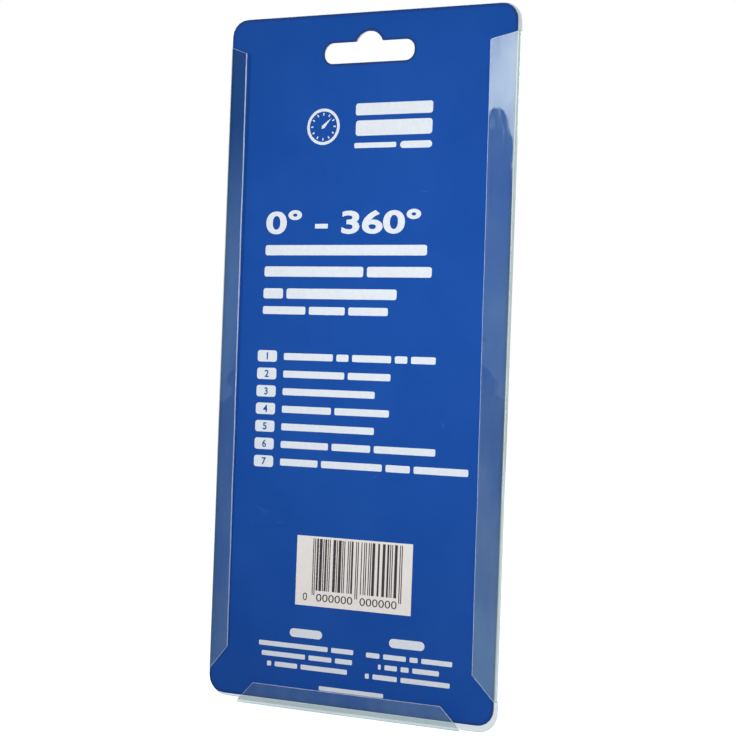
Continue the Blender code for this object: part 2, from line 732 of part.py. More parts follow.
def housing_base():
    """The dial's moulded dish, with ribs behind it and the boss that grips the arm."""
    profile = [
        (DIAL_BORE, DIAL_BACK),
        (WALL_OUTER - DIAL_EDGE, DIAL_BACK),
        (WALL_OUTER, DIAL_BACK + DIAL_EDGE),
        (WALL_OUTER, WALL_FRONT),
        (WALL_INNER, WALL_FRONT),
        (WALL_INNER, FLOOR_FRONT),
        (DIAL_BORE, FLOOR_FRONT),
    ]
    dish = turned("housing_base", profile, BLACK_PLASTIC, location=AXIS)
    for i in range(DIAL_RIB_COUNT):
        join(dish, dial_rib(i))
    half = BOSS_SIDE / 2
    outline = rounded(rectangle(-half, half, -half, half, BOSS_CORNER), 4)
    boss = prism(
        "arm_boss", outline, 0.0, BOSS_LENGTH, BLACK_PLASTIC, lying_flat, (-ARM_SPREAD, -ARM_DEPTH, BOSS_FOOT)
    )
    join(dish, boss)
    bore = FERRULE_RADIUS + GAP
    depth = FERRULE_LENGTH - FERRULE_SHOWN + GAP
    hole = [(0.0, -depth), (bore, -depth), (bore, OVERCUT), (0.0, OVERCUT)]
    cut(dish, upright("arm_bore_cutter", hole, BLACK_PLASTIC, False, (-ARM_SPREAD, -ARM_DEPTH, BOSS_TOP)))
    reach = BOSS_SIDE / 2 + OVERCUT
    room = SET_SCREW_RADIUS + RUNNING_PLAY
    cut(dish, side_bolt("set_screw_cutter", room, FERRULE_BORE, reach, SMALL_STEPS))
    for i in range(SCREW_COUNT):
        cut(dish, screw_hole(i))
    return dish


def dial_rib(index):
    angle = 2 * math.pi * (index + 0.5) / DIAL_RIB_COUNT
    inner = COLLAR_RADIUS + DIAL_RIB_INSET
    outer = WALL_OUTER - DIAL_RIB_INSET
    half = DIAL_RIB_THICKNESS / 2
    outline = [(inner, -half), (outer, -half), (outer, half), (inner, half)]
    back = -(DIAL_BACK - DIAL_RIB_HEIGHT)
    root = -(DIAL_BACK + MERGE)
    rib = prism(f"dial_rib_{index}", outline, back, root, BLACK_PLASTIC, facing_back, AXIS)
    rib.rotation_euler = (0, angle, 0)
    return rib


def side_bolt(name, radius, inner, outer, steps):
    """A round or hexagonal bar along X through the boss's side, inner to outer from the arm's middle."""
    profile = [(0.0, inner), (radius, inner), (radius, outer), (0.0, outer)]
    obj = turned(name, profile, STEEL, False, steps)
    obj.location = (-ARM_SPREAD, -ARM_DEPTH, BOSS_TOP - (FERRULE_LENGTH - FERRULE_SHOWN) / 2)
    obj.rotation_euler = (0, 0, -math.pi / 2)
    return obj


def screw_place(index):
    angle = 2 * math.pi * (index / SCREW_COUNT + 1 / DIAL_RIB_COUNT) + math.pi / 2
    return (SCREW_PITCH_RADIUS * math.cos(angle), 0.0, DIAL_Z + SCREW_PITCH_RADIUS * math.sin(angle))


def screw_hole(index):
    seat = DIAL_BACK + SCREW_HEAD_HEIGHT + SEAT_PLAY
    profile = [
        (0.0, DIAL_BACK - OVERCUT),
        (SCREW_HEAD_RADIUS + GAP, DIAL_BACK - OVERCUT),
        (SCREW_HEAD_RADIUS + GAP, seat),
        (SCREW_SHANK_RADIUS + GAP, seat),
        (SCREW_SHANK_RADIUS + GAP, SCALE_FRONT + OVERCUT),
        (0.0, SCALE_FRONT + OVERCUT),
    ]
    return turned(f"screw_hole_cutter_{index}", profile, STEEL, False, SMALL_STEPS, screw_place(index))


def dial_screw(index):
    """A countersunk-in screw from behind that holds the scale plate to the dish."""
    head = DIAL_BACK + SCREW_HEAD_HEIGHT - GAP
    face = DIAL_BACK - SEAT_PLAY
    profile = [
        (0.0, face),
        (SCREW_HEAD_RADIUS - GAP, face),
        (SCREW_HEAD_RADIUS, face + GAP),
        (SCREW_HEAD_RADIUS, head),
        (SCREW_SHANK_RADIUS, head),
        (SCREW_SHANK_RADIUS, SCALE_FRONT - SEAT_PLAY),
        (0.0, SCALE_FRONT - SEAT_PLAY),
    ]
    screw = turned(f"dial_screw_{index + 1}", profile, STEEL, False, SMALL_STEPS, screw_place(index))
    x, _, z = screw_place(index)
    long, wide = SCREW_SLOT_LENGTH / 2, SCREW_SLOT_WIDTH / 2
    slot = [(-long, -wide), (long, -wide), (long, wide), (-long, wide)]
    start, floor = -(DIAL_BACK - OVERCUT), -(DIAL_BACK + GAP)
    slot_bar = prism(f"screw_slot_{index}", slot, start, floor, STEEL, facing_back, (x, 0, z))
    return cut(screw, slot_bar)


def scale_plate():
    profile = [
        (SCALE_INNER, SCALE_BACK),
        (SCALE_OUTER, SCALE_BACK),
        (SCALE_OUTER, SCALE_FRONT),
        (SCALE_INNER, SCALE_FRONT),
    ]
    plate = turned("scale_plate", profile, DIAL_BLACK, location=AXIS)
    for i in range(SCREW_COUNT):
        cut(plate, screw_hole(i))
    return plate


def bezel_ring():
    """A cap ring over the dish's wall: a lip in front and a skirt round the side."""
    inner = WALL_INNER - BEZEL_LIP + DIAL_WALL
    profile = [
        (inner, BEZEL_BACK),
        (DIAL_RADIUS - BEZEL_SKIRT, BEZEL_BACK),
        (DIAL_RADIUS - BEZEL_SKIRT, BEZEL_BACK - BEZEL_SKIRT_DROP),
        (DIAL_RADIUS, BEZEL_BACK - BEZEL_SKIRT_DROP),
        (DIAL_RADIUS, BEZEL_FRONT - BEZEL_EDGE),
        (DIAL_RADIUS - BEZEL_EDGE, BEZEL_FRONT),
        (inner + BEZEL_BEVEL, BEZEL_FRONT),
        (inner, BEZEL_FRONT - BEZEL_BEVEL),
    ]
    ring = turned("bezel_ring", profile, BLACK_PLASTIC, location=AXIS)
    half = BOSS_SIDE / 2 + GAP
    outline = rounded(rectangle(-half, half, -half, half, BOSS_CORNER), 4)
    room = prism(
        "boss_room_cutter",
        outline,
        -GAP,
        BOSS_LENGTH + GAP,
        BLACK_PLASTIC,
        lying_flat,
        (-ARM_SPREAD, -ARM_DEPTH, BOSS_FOOT),
    )
    return cut(ring, room)


def retaining_ring():
    """An open ring in the drive's groove that keeps the dial on its journal."""
    half = CIRCLIP_GAP / 2
    inner = arc((0, 0), CIRCLIP_INNER, half, 2 * math.pi - half, TURRET_STEPS)
    outer = arc((0, 0), CIRCLIP_OUTER, half, 2 * math.pi - half, TURRET_STEPS)
    outline = outer + inner[::-1]
    ring = prism("retaining_ring", outline, -CIRCLIP_BACK, -CIRCLIP_FRONT, STEEL, facing_back, AXIS)
    ring.rotation_euler = (0, CIRCLIP_TURN, 0)
    return ring


def friction_ring():
    profile = circle(RING_WIRE, 7, (RING_RADIUS, RING_DEPTH))
    return turned("friction_ring", profile, RUBBER, location=AXIS, steps=TURRET_STEPS)


def pointer_knob():
    """The grip ring that a finger turns to bring the pointer to zero."""
    count = KNOB_RIBS * 2
    bore = circle(KNOB_BORE, count)
    relief = circle(RING_RADIUS + RING_WIRE + RUNNING_PLAY, count)

    def grip(radius):
        loop = []
        for i in range(count):
            angle = 2 * math.pi * i / count
            reach = radius - (i % 2) * KNOB_RIB_DEPTH
            loop.append((reach * math.cos(angle), reach * math.sin(angle)))
        return loop

    outer = grip(KNOB_RADIUS)
    top = grip(KNOB_RADIUS - KNOB_TOP_EDGE)
    loops = [
        at_depth(bore, KNOB_BACK),
        at_depth(outer, KNOB_BACK),
        at_depth(outer, KNOB_FRONT - KNOB_TOP_EDGE),
        at_depth(top, KNOB_FRONT),
        at_depth(bore, KNOB_FRONT),
        at_depth(bore, RING_DEPTH + RING_WIRE + GAP),
        at_depth(relief, RING_DEPTH + RING_WIRE / 2),
        at_depth(relief, RING_DEPTH - RING_WIRE / 2),
        at_depth(bore, RING_DEPTH - RING_WIRE - GAP),
    ]
    knob = loft("pointer_knob", loops, BLACK_PLASTIC, AXIS, ring=True)
    for side in (-1, 1):
        cut(knob, rivet_bar(f"rivet_room_{side + 1}", side, GAP, RUNNING_PLAY))
    return knob


def rivet_bar(name, side, longer, wider):
    """A round bar where a rivet goes through the pointer's plate into the knob."""
    pitch = (KNOB_BORE + KNOB_RADIUS) / 2
    angle = math.pi / 2 + side * RIVET_TURN
    place = (pitch * math.cos(angle), 0.0, DIAL_Z + pitch * math.sin(angle))
    radius = RIVET_RADIUS + wider
    start = NEEDLE_BACK + SEAT_PLAY - longer
    end = KNOB_BACK + RIVET_DEPTH + longer
    profile = [(0.0, start), (radius, start), (radius, end), (0.0, end)]
    return turned(name, profile, STEEL, False, SMALL_STEPS, place)


def pointer_rivet(side, number):
    return rivet_bar(f"pointer_rivet_{number}", side, 0.0, 0.0)


def pointer_needle():
    """A flat ring under the knob with a tapered blade that reaches over the scale."""
    inner = KNOB_BORE
    outer = KNOB_RADIUS - KNOB_RIB_DEPTH - GAP
    profile = [(inner, NEEDLE_BACK), (outer, NEEDLE_BACK), (outer, NEEDLE_FRONT), (inner, NEEDLE_FRONT)]
    plate = turned("pointer_needle", profile, POINTER_RED, location=AXIS)
    root = outer - 2 * MERGE
    blade = [
        (-NEEDLE_ROOT_WIDTH / 2, root, 0.0),
        (NEEDLE_ROOT_WIDTH / 2, root, 0.0),
        (NEEDLE_TIP_WIDTH / 2, NEEDLE_TIP_RADIUS, NEEDLE_TIP_CORNER),
        (-NEEDLE_TIP_WIDTH / 2, NEEDLE_TIP_RADIUS, NEEDLE_TIP_CORNER),
    ]
    outline = rounded(blade, 3)
    join(plate, prism("needle_blade", outline, -NEEDLE_BACK, -NEEDLE_FRONT, POINTER_RED, facing_back, AXIS))
    for side in (-1, 1):
        cut(plate, rivet_bar(f"needle_hole_{side + 1}", side, OVERCUT, RUNNING_PLAY))
    return plate


def arm_path(start, end):
    """The flexible arm's middle line: up from the boss, over a half turn and down to its free end."""
    points = []
    rise = ARC_Z - start
    count = max(2, round(rise / ARM_RIB_PITCH * 2))
    points += [Vector((-ARM_SPREAD, -ARM_DEPTH, start + rise * i / count)) for i in range(count)]
    turn = math.pi * ARM_SPREAD
    count = max(8, round(turn / ARM_RIB_PITCH * 2))
    for i in range(count):
        angle = math.pi - math.pi * i / count
        around = Vector((math.cos(angle), 0.0, math.sin(angle)))
        points.append(Vector((0.0, -ARM_DEPTH, ARC_Z)) + around * ARM_SPREAD)
    drop = ARC_Z - end
    count = max(2, round(drop / ARM_RIB_PITCH * 2))
    points += [Vector((ARM_SPREAD, -ARM_DEPTH, ARC_Z - drop * i / count)) for i in range(count + 1)]
    return points


def flexible_arm():
    """A gooseneck with a rib at each turn of its casing."""
    start = BOSS_TOP - (FERRULE_LENGTH - FERRULE_SHOWN) + FERRULE_FLOOR + GAP
    path = arm_path(start, FREE_END_Z)
    last = len(path) - 1
    radii = [ARM_RADIUS if i % 2 or i in (0, last) else ARM_RADIUS - ARM_RIB for i in range(last + 1)]
    return swept("flexible_arm", path, radii, 9, ARM_CHROME)


def base_ferrule():
    """A crimped sleeve on the arm's fixed end, held in the boss."""
    low = -(FERRULE_LENGTH - FERRULE_SHOWN)
    profile = [
        (0.0, low),
        (FERRULE_RADIUS, low),
        (FERRULE_RADIUS, FERRULE_SHOWN - FERRULE_LIP),
        (FERRULE_RADIUS - EDGE_BREAK, FERRULE_SHOWN),
        (FERRULE_BORE, FERRULE_SHOWN),
        (FERRULE_BORE, low + FERRULE_FLOOR),
        (0.0, low + FERRULE_FLOOR),
    ]
    return upright("base_ferrule", profile, STEEL, False, (-ARM_SPREAD, -ARM_DEPTH, BOSS_TOP))


def set_screw():
    """A headless screw that pinches the ferrule, with a hexagonal recess for its key."""
    end = BOSS_SIDE / 2 - SET_SCREW_SUNK
    screw = side_bolt("arm_set_screw", SET_SCREW_RADIUS, FERRULE_RADIUS + GAP, end, SMALL_STEPS)
    key = SET_SCREW_RADIUS * HEX_SHARE
    return cut(screw, side_bolt("hex_cutter", key, end - HEX_DEPTH, end + OVERCUT, 6))


def end_ferrule():
    """The sleeve on the free end, with the stud that carries the magnet."""
    stud_end = -MAGNET_SEAT - MAGNET_CUP_BASE
    shoulder = -MAGNET_SEAT + MAGNET_EDGE
    profile = [
        (0.0, stud_end),
        (MAGNET_STUD_RADIUS, stud_end),
        (MAGNET_STUD_RADIUS, shoulder),
        (FERRULE_RADIUS - FERRULE_LIP, shoulder),
        (FERRULE_RADIUS, shoulder + FERRULE_LIP),
        (FERRULE_RADIUS, FERRULE_SHOWN - FERRULE_LIP),
        (FERRULE_RADIUS - EDGE_BREAK, FERRULE_SHOWN),
        (FERRULE_BORE, FERRULE_SHOWN),
        (FERRULE_BORE, -GAP),
        (0.0, -GAP),
    ]
    return upright("end_ferrule", profile, STEEL, False, (ARM_SPREAD, -ARM_DEPTH, FREE_END_Z))


def magnet_cup():
    """A steel cup, open downwards, that seats on the stud."""
    bore = MAGNET_STUD_RADIUS + GAP
    top = -MAGNET_SEAT
    low = top - MAGNET_CUP_LENGTH
    inner = MAGNET_RADIUS - MAGNET_CUP_WALL
    profile = [
        (bore, top),
        (MAGNET_RADIUS - MAGNET_EDGE, top),
        (MAGNET_RADIUS, top - MAGNET_EDGE),
        (MAGNET_RADIUS, low),
        (inner, low),
        (inner, top - MAGNET_CUP_BASE),
        (bore, top - MAGNET_CUP_BASE),
    ]
    return upright("magnet_cup", profile, STEEL, True, (ARM_SPREAD, -ARM_DEPTH, FREE_END_Z))


def magnet():
    radius = MAGNET_RADIUS - MAGNET_CUP_WALL - GAP
    top = -MAGNET_SEAT - MAGNET_CUP_BASE - GAP
    low = -MAGNET_SEAT - MAGNET_CUP_LENGTH - MAGNET_PROUD
    edge = EDGE_BREAK
    profile = [(0.0, low), (radius - edge, low), (radius, low + edge), (radius, top), (0.0, top)]
    return upright("magnet", profile, MAGNET_BLACK, False, (ARM_SPREAD, -ARM_DEPTH, FREE_END_Z))


def settle():
    """Keeps each piece as its cuts leave it, shades its round sides soft and drops the helpers."""
    bpy.context.view_layer.update()
    depsgraph = bpy.context.evaluated_depsgraph_get()
    pieces = [obj for obj in bpy.data.objects if not obj.hide_render and obj.type == "MESH"]
    results = [bpy.data.meshes.new_from_object(obj.evaluated_get(depsgraph)) for obj in pieces]
    for obj, mesh in zip(pieces, results):
        obj.modifiers.clear()
        obj.data = mesh
        mesh.shade_smooth()
        mesh.set_sharp_from_angle(angle=SMOOTH_ANGLE)
    for helper in [obj for obj in bpy.data.objects if obj.hide_render]:
        bpy.data.objects.remove(helper, do_unlink=True)


def carry(name, place, members):
    """An empty on a joint's axis that carries the pieces which move with it."""
    empty = bpy.data.objects.new(name, None)
    empty.location = place
    bpy.context.scene.collection.objects.link(empty)
    for member in members:
        member.parent = empty
        member.matrix_parent_inverse = Matrix.Translation(place).inverted()
    return empty


clear_scene()
AXIS = (0.0, 0.0, DIAL_Z)
CLEAR_SHEET = material("clear sheet", (0.92, 0.95, 0.95), 0.08, 0.0, 0.25)
PRINTED_CARD = material("printed card", (0.02, 0.08, 0.36), 0.35)
STEEL = material("satin chrome", (0.70, 0.71, 0.72), 0.22, 1.0)
BRASS = material("brass", (0.72, 0.52, 0.22), 0.30, 1.0)
BLACK_PLASTIC = material("black plastic", (0.02, 0.02, 0.022), 0.45)
DIAL_BLACK = material("dial black", (0.012, 0.012, 0.014), 0.55)
POINTER_RED = material("pointer red", (0.70, 0.03, 0.02), 0.35)
RUBBER = material("rubber", (0.015, 0.015, 0.015), 0.8)
ARM_CHROME = material("arm chrome", (0.62, 0.63, 0.65), 0.25, 1.0)
MAGNET_BLACK = material("magnet", (0.05, 0.05, 0.055), 0.5)

blister()
housing_base()
scale_plate()
bezel_ring()
journal_bush()
for screw_index in range(SCREW_COUNT):
    dial_screw(screw_index)
base_ferrule()
set_screw()
flexible_arm()
end_ferrule()
magnet_cup()
magnet()

slider = carry("card_slide", (0.0, 0.0, 0.0), [card()])
pointer_pieces = [pointer_knob(), pointer_needle(), pointer_rivet(-1, 1), pointer_rivet(1, 2)]
pointer = carry("pointer_axis", AXIS, pointer_pieces)
ball = carry("ball_slide", ball_seat(), [detent_ball()])
drive_pieces = [drive_shaft(), retaining_ring(), friction_ring(), detent_spring()]
drive = carry("drive_axis", AXIS, [*drive_pieces, pointer, ball])
settle()
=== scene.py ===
import math
import random

import bmesh
import bpy
from mathutils import Matrix, Vector, noise


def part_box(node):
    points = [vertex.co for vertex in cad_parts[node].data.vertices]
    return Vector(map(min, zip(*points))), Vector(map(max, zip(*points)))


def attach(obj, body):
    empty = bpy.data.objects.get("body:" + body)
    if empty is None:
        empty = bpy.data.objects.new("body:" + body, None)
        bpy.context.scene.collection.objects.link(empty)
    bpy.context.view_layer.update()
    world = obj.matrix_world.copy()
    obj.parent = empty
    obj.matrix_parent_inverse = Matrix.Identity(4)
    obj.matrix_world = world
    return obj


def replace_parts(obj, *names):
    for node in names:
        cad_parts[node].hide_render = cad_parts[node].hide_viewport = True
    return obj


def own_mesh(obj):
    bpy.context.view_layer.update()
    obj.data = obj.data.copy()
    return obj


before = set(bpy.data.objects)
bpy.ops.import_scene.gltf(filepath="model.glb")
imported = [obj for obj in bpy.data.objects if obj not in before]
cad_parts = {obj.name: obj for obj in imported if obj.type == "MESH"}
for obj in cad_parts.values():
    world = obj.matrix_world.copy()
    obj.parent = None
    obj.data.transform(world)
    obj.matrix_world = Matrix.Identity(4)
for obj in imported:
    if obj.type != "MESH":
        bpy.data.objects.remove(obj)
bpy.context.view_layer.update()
mm = 0.001

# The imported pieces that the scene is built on
shellLow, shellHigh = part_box("blister_shell")
cardLow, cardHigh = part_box("backing_card")
bezelLow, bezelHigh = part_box("bezel_ring")
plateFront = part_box("scale_plate")[0].y
dialZ = (bezelLow.z + bezelHigh.z) / 2
packHalf = shellHigh.x
packMiddle = (0, 0, (shellLow.z + shellHigh.z) / 2)


# Helpers for materials

def addNode(tree, kind, inputs=None, output=0, **settings):
    # inputs are fixed values or other nodes' outputs, by the socket's name or number
    made = tree.nodes.new("ShaderNode" + kind)
    for setting, value in settings.items():
        setattr(made, setting, value)
    for socket, value in (inputs or {}).items():
        if isinstance(value, bpy.types.NodeSocket):
            tree.links.new(value, made.inputs[socket])
        else:
            made.inputs[socket].default_value = value
    return made.outputs[output]


def maths(tree, operation, *values):
    return addNode(tree, "Math", dict(enumerate(values)), operation=operation)


def vectorMaths(tree, operation, *values, output="Vector"):
    return addNode(tree, "VectorMath", dict(enumerate(values)), output, operation=operation)


def objectPlace(tree):
    return addNode(tree, "TexCoord", output="Object")


def objectAxis(tree, axis):
    return addNode(tree, "SeparateXYZ", {0: objectPlace(tree)}, axis)


def objectNoise(tree, scale, detail=3, roughness=0.5, stretch=(1, 1, 1)):
    place = addNode(tree, "Mapping", {"Vector": objectPlace(tree), "Scale": stretch})
    return addNode(tree, "TexNoise", {
        "Vector": place, "Scale": scale, "Detail": detail, "Roughness": roughness})


def remap(tree, source, low, high, fromLow=0.3, fromHigh=0.7):
    return addNode(tree, "MapRange", {
        "Value": source, "From Min": fromLow, "From Max": fromHigh, "To Min": low, "To Max": high})


def mixColours(tree, share, *colours):
    # each colour is three numbers or another node's output
    first, second = [c if isinstance(c, bpy.types.NodeSocket) else (*c, 1) for c in colours]
    return addNode(tree, "Mix", {0: share, 6: first, 7: second}, 2, data_type="RGBA")


def addBump(tree, shader, height, strength, distance):
    bump = addNode(tree, "Bump", {"Height": height, "Strength": strength, "Distance": distance})
    tree.links.new(bump, shader.inputs["Normal"])


def newMaterial(name, colour, roughness, metallic=0.0, specular=0.5):
    made = bpy.data.materials.new(name)
    made.use_nodes = True
    shader = made.node_tree.nodes["Principled BSDF"]
    shader.inputs["Base Color"].default_value = (*colour, 1)
    shader.inputs["Roughness"].default_value = roughness
    shader.inputs["Metallic"].default_value = metallic
    shader.inputs["Specular IOR Level"].default_value = specular
    return made, made.node_tree, shader


# Kinds of surface, with noises as (scale, detail, roughness). The first noise mixes the two colours by the
# shares in clouds, gloss changes the roughness, and grain is the bump.
surfaces = {
    "plastic": {"noise": (140, 4, 0.6), "clouds": (0, 1, 0.42, 0.72), "gloss": (420, 3, 0.6),
                "grain": (2600, 2, 0.5), "depth": 0.00004, "metallic": 0, "specular": 0.4},
    "metal": {"noise": (320, 4, 0.6), "clouds": (0, 1), "gloss": (700, 3, 0.6), "grain": (2200, 2, 0.5),
              "depth": 0.00003, "metallic": 1, "specular": 0.5},
    "turned": {"noise": (180, 4, 0.6), "clouds": (0, 1), "latheMarks": 2600, "depth": 0.00003, "metallic": 1,
               "specular": 0.5},
    "print": {"noise": (800, 4, 0.65), "clouds": (1, 0), "metallic": 0, "specular": 0.15},
}


def latheMarks(tree, scale):
    # they change with the distance from the dial's axis only
    away = vectorMaths(tree, "SUBTRACT", objectPlace(tree), (0, 0, dialZ))
    radius = vectorMaths(tree, "LENGTH", vectorMaths(tree, "MULTIPLY", away, (1, 0, 1)), output="Value")
    return addNode(tree, "TexNoise", {"W": radius, "Scale": scale, "Detail": 3}, noise_dimensions="1D")


def makeFinish(name, kind, colour, second, roughness=None, bump=0.0):
    values = surfaces[kind]
    made, tree, shader = newMaterial(name, colour, 0.45, values["metallic"], values["specular"])
    clouds = remap(tree, objectNoise(tree, *values["noise"]), *values["clouds"])
    tree.links.new(mixColours(tree, clouds, colour, second), shader.inputs["Base Color"])
    if not roughness:
        return made
    if "latheMarks" in values:
        gloss = grain = latheMarks(tree, values["latheMarks"])
    else:
        gloss, grain = (objectNoise(tree, *values[part]) for part in ("gloss", "grain"))
    tree.links.new(remap(tree, gloss, *roughness), shader.inputs["Roughness"])
    addBump(tree, shader, grain, bump, values["depth"])
    return made


# Helpers for meshes

def meshFrom(name, verts, faces):
    mesh = bpy.data.meshes.new(name)
    mesh.from_pydata([tuple(v) for v in verts], [], faces)
    mesh.update()
    return mesh


def gridMesh(name, rows, closedRows=False, closedColumns=True, capped=False):
    # rows of points, each joined to the next
    count, width = len(rows), len(rows[0])
    faces = []
    for row in range(count if closedRows else count - 1):
        over = (row + 1) % count * width
        for k in range(width if closedColumns else width - 1):
            n = (k + 1) % width
            faces.append((row * width + k, row * width + n, over + n, over + k))
    if capped:
        faces += [tuple(range(width))[::-1], tuple(range((count - 1) * width, count * width))]
    return meshFrom(name, [point for row in rows for point in row], faces)


def workingCopy(*meshes):
    work = bmesh.new()
    for mesh in meshes:
        work.from_mesh(mesh)
    return work


def meshOf(name, work, outward=True):
    if outward:
        bmesh.ops.recalc_face_normals(work, faces=work.faces[:])
    mesh = bpy.data.meshes.new(name)
    work.to_mesh(mesh)
    work.free()
    return mesh


def linked(name, data):
    holder = bpy.data.objects.new(name, data)
    bpy.context.scene.collection.objects.link(holder)
    return holder


def reshaped(data, *steps):
    # steps are modifiers, each a kind and its settings, used one after another
    holder = linked("working", data)
    for kind, settings in steps:
        modifier = holder.modifiers.new(kind, kind)
        for setting, value in settings.items():
            setattr(modifier, setting, value)
    bpy.context.view_layer.update()
    result = bpy.data.meshes.new_from_object(holder.evaluated_get(bpy.context.evaluated_depsgraph_get()))
    bpy.data.objects.remove(holder)
    return result


def combine(mesh, tools):
    # tools are (mesh, "UNION" or "DIFFERENCE") pairs, used one after another
    helpers = [linked("helper", tool) for tool, way in tools]
    result = reshaped(mesh, *(("BOOLEAN", {"object": helper, "operation": way, "solver": "EXACT"})
                              for helper, (tool, way) in zip(helpers, tools)))
    for helper in helpers:
        bpy.data.objects.remove(helper)
    return result


def softenEdges(mesh, width, segments=2, angle=35):
    return reshaped(mesh, ("BEVEL", {
        "width": width, "segments": segments, "limit_method": "ANGLE", "angle_limit": math.radians(angle)}))


def newPiece(name, mesh, material, body, smooth=True, angle=40):
    piece = linked(name, mesh)
    mesh.materials.append(material)
    if smooth:
        mesh.shade_smooth()
        mesh.set_sharp_from_angle(angle=math.radians(angle))
    if body:
        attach(piece, body)
    return piece


def circlePoints(radius, steps, centre=(0, 0), start=0, sweep=2 * math.pi):
    count = steps if abs(sweep) >= 2 * math.pi - 1e-6 else steps + 1
    angles = [start + sweep * i / steps for i in range(count)]
    return [(centre[0] + radius * math.cos(a), centre[1] + radius * math.sin(a)) for a in angles]


def roundOutline(corners, steps=8):
    # corners are (x, y, radius) in order round the outline
    outline = []
    for i, (x, y, radius) in enumerate(corners):
        here = Vector((x, y))
        before = (Vector(corners[i - 1][:2]) - here).normalized()
        after = (Vector(corners[(i + 1) % len(corners)][:2]) - here).normalized()
        if radius <= 0 or before.angle(after) > math.radians(179.5):
            outline.append((x, y))
            continue
        half = before.angle(after) / 2
        centre = here + (before + after).normalized() * (radius / math.sin(half))
        first = here + before * (radius / math.tan(half)) - centre
        turn = math.pi - 2 * half
        if before.x * after.y - before.y * after.x > 0:
            turn = -turn
        for k in range(steps + 1):
            point = centre + Matrix.Rotation(turn * k / steps, 2) @ first
            outline.append((point.x, point.y))
    return outline


def boxCorners(left, right, low, high, radius):
    return [(left, low, radius), (right, low, radius), (right, high, radius), (left, high, radius)]


def roundProfile(corners, steps=4):
    # corners are (radius, depth, rounding) in millimetres
    return roundOutline([tuple(value * mm for value in corner) for corner in corners], steps)


def wellProfile(radius, low, high):
    return [(0, low * mm), (radius * mm, low * mm), (radius * mm, high * mm), (0, high * mm)]


def turnedMesh(name, profile, steps, ring=True, centre=None, fluting=None):
    # without a centre the axis is the dial's own; with one the piece stands upright there
    rows = []
    for i in range(steps):
        angle = 2 * math.pi * i / steps
        row = []
        for radius, depth in profile:
            reach = fluting(radius, depth, angle) if fluting else radius
            across, along = reach * math.cos(angle), reach * math.sin(angle)
            row.append((centre[0] + across, centre[1] + along, centre[2] + depth) if centre
                       else (across, -depth, dialZ + along))
        rows.append(row)
    work = workingCopy(gridMesh(name, rows, closedRows=True, closedColumns=ring))
    bmesh.ops.remove_doubles(work, verts=work.verts[:], dist=1e-6)
    return meshOf(name, work)


def loftMesh(name, loops):
    return meshOf(name, workingCopy(gridMesh(name, loops, capped=True)))


def barMesh(name, outline, start, end, toWorld):
    return loftMesh(name, [[toWorld(u, v, w) for u, v in outline] for w in (start, end)])


def threadMesh(name, path, radius, normals=None, flat=1.0, sides=6, closed=False):
    # a round thread along the path, or one pressed flat that stands on edge along the normals
    count = len(path)
    rows = []
    for i, place in enumerate(path):
        ahead = path[(i + 1) % count] if closed else path[min(i + 1, count - 1)]
        behind = path[i - 1] if closed else path[max(i - 1, 0)]
        along = (Vector(ahead) - Vector(behind)).normalized()
        across = along.cross(Vector(normals[i]) if normals else Vector((0, 1, 0))).normalized()
        other = along.cross(across)
        ring = [across * c * flat + other * s for c, s in circlePoints(1, sides)]
        rows.append([Vector(place) + away * radius for away in ring])
    return gridMesh(name, rows, closedRows=closed, capped=not closed)


# The camera stands where the photograph was taken from

cameraView = {
    "yaw": -25.435,
    "pitch": -0.378,
    "roll": -2.099,
    "shift": (-3.12 * mm, 1.62 * mm, -540.81 * mm),
    "lens": 81.33,
    "sensor": 36,
    "near": 0.01,
}


def placeCamera(view):
    facingBack = Matrix(((-1, 0, 0, 0), (0, 0, 1, -packMiddle[2]), (0, 1, 0, 0), (0, 0, 0, 1)))
    matrix = Matrix.Translation(view["shift"])
    for name, axis in (("roll", "Z"), ("pitch", "X"), ("yaw", "Y")):
        matrix = matrix @ Matrix.Rotation(math.radians(view[name]), 4, axis)
    camera = bpy.data.cameras.new("packCamera")
    camera.lens = view["lens"]
    camera.sensor_width = view["sensor"]
    camera.clip_start = view["near"]
    holder = linked("packCamera", camera)
    holder.matrix_world = (matrix @ facingBack).inverted()
    bpy.context.scene.camera = holder


placeCamera(cameraView)
print("camera placed")


# Plain studio: pale surroundings, a soft box and a small fill behind the pack, and a soft light in front

studio = {
    "surroundings": 0.31,
    "mirrored": 0.62,  # how bright the surroundings are in metal and in the clear sheet
    "lights": {
        "softBox": {"power": 2.4, "size": (0.285, 0.62), "place": (-0.579, 1.034, 0.02),
                    "colour": (1.0, 0.73, 0.65)},
        "fillLight": {"power": 0.268, "size": (0.12, 0.12), "place": (-0.024, 0.45, -0.071), "spread": 70},
        "frontLight": {"power": 13.0, "size": (0.5, 0.8), "place": (-0.75, -1.15, 0.55)},
    },
    "floor": (0.82, 0.82, 0.82),
    "floorRoughness": 0.9,
    "floorReach": 6,
    "floorGlow": 0.78,
    "floorMirrored": 0.15,
}


def whiteForViewers(tree, mirrored):
    # 1 where the camera looks, straight or through glass, 0 where the surface only lights things
    seen, glossy, through = (addNode(tree, "LightPath", output=f"Is {kind} Ray")
                             for kind in ("Camera", "Glossy", "Transmission"))
    inMetal = maths(tree, "MULTIPLY", glossy, mirrored)
    return maths(tree, "MAXIMUM", maths(tree, "MAXIMUM", seen, inMetal), through)


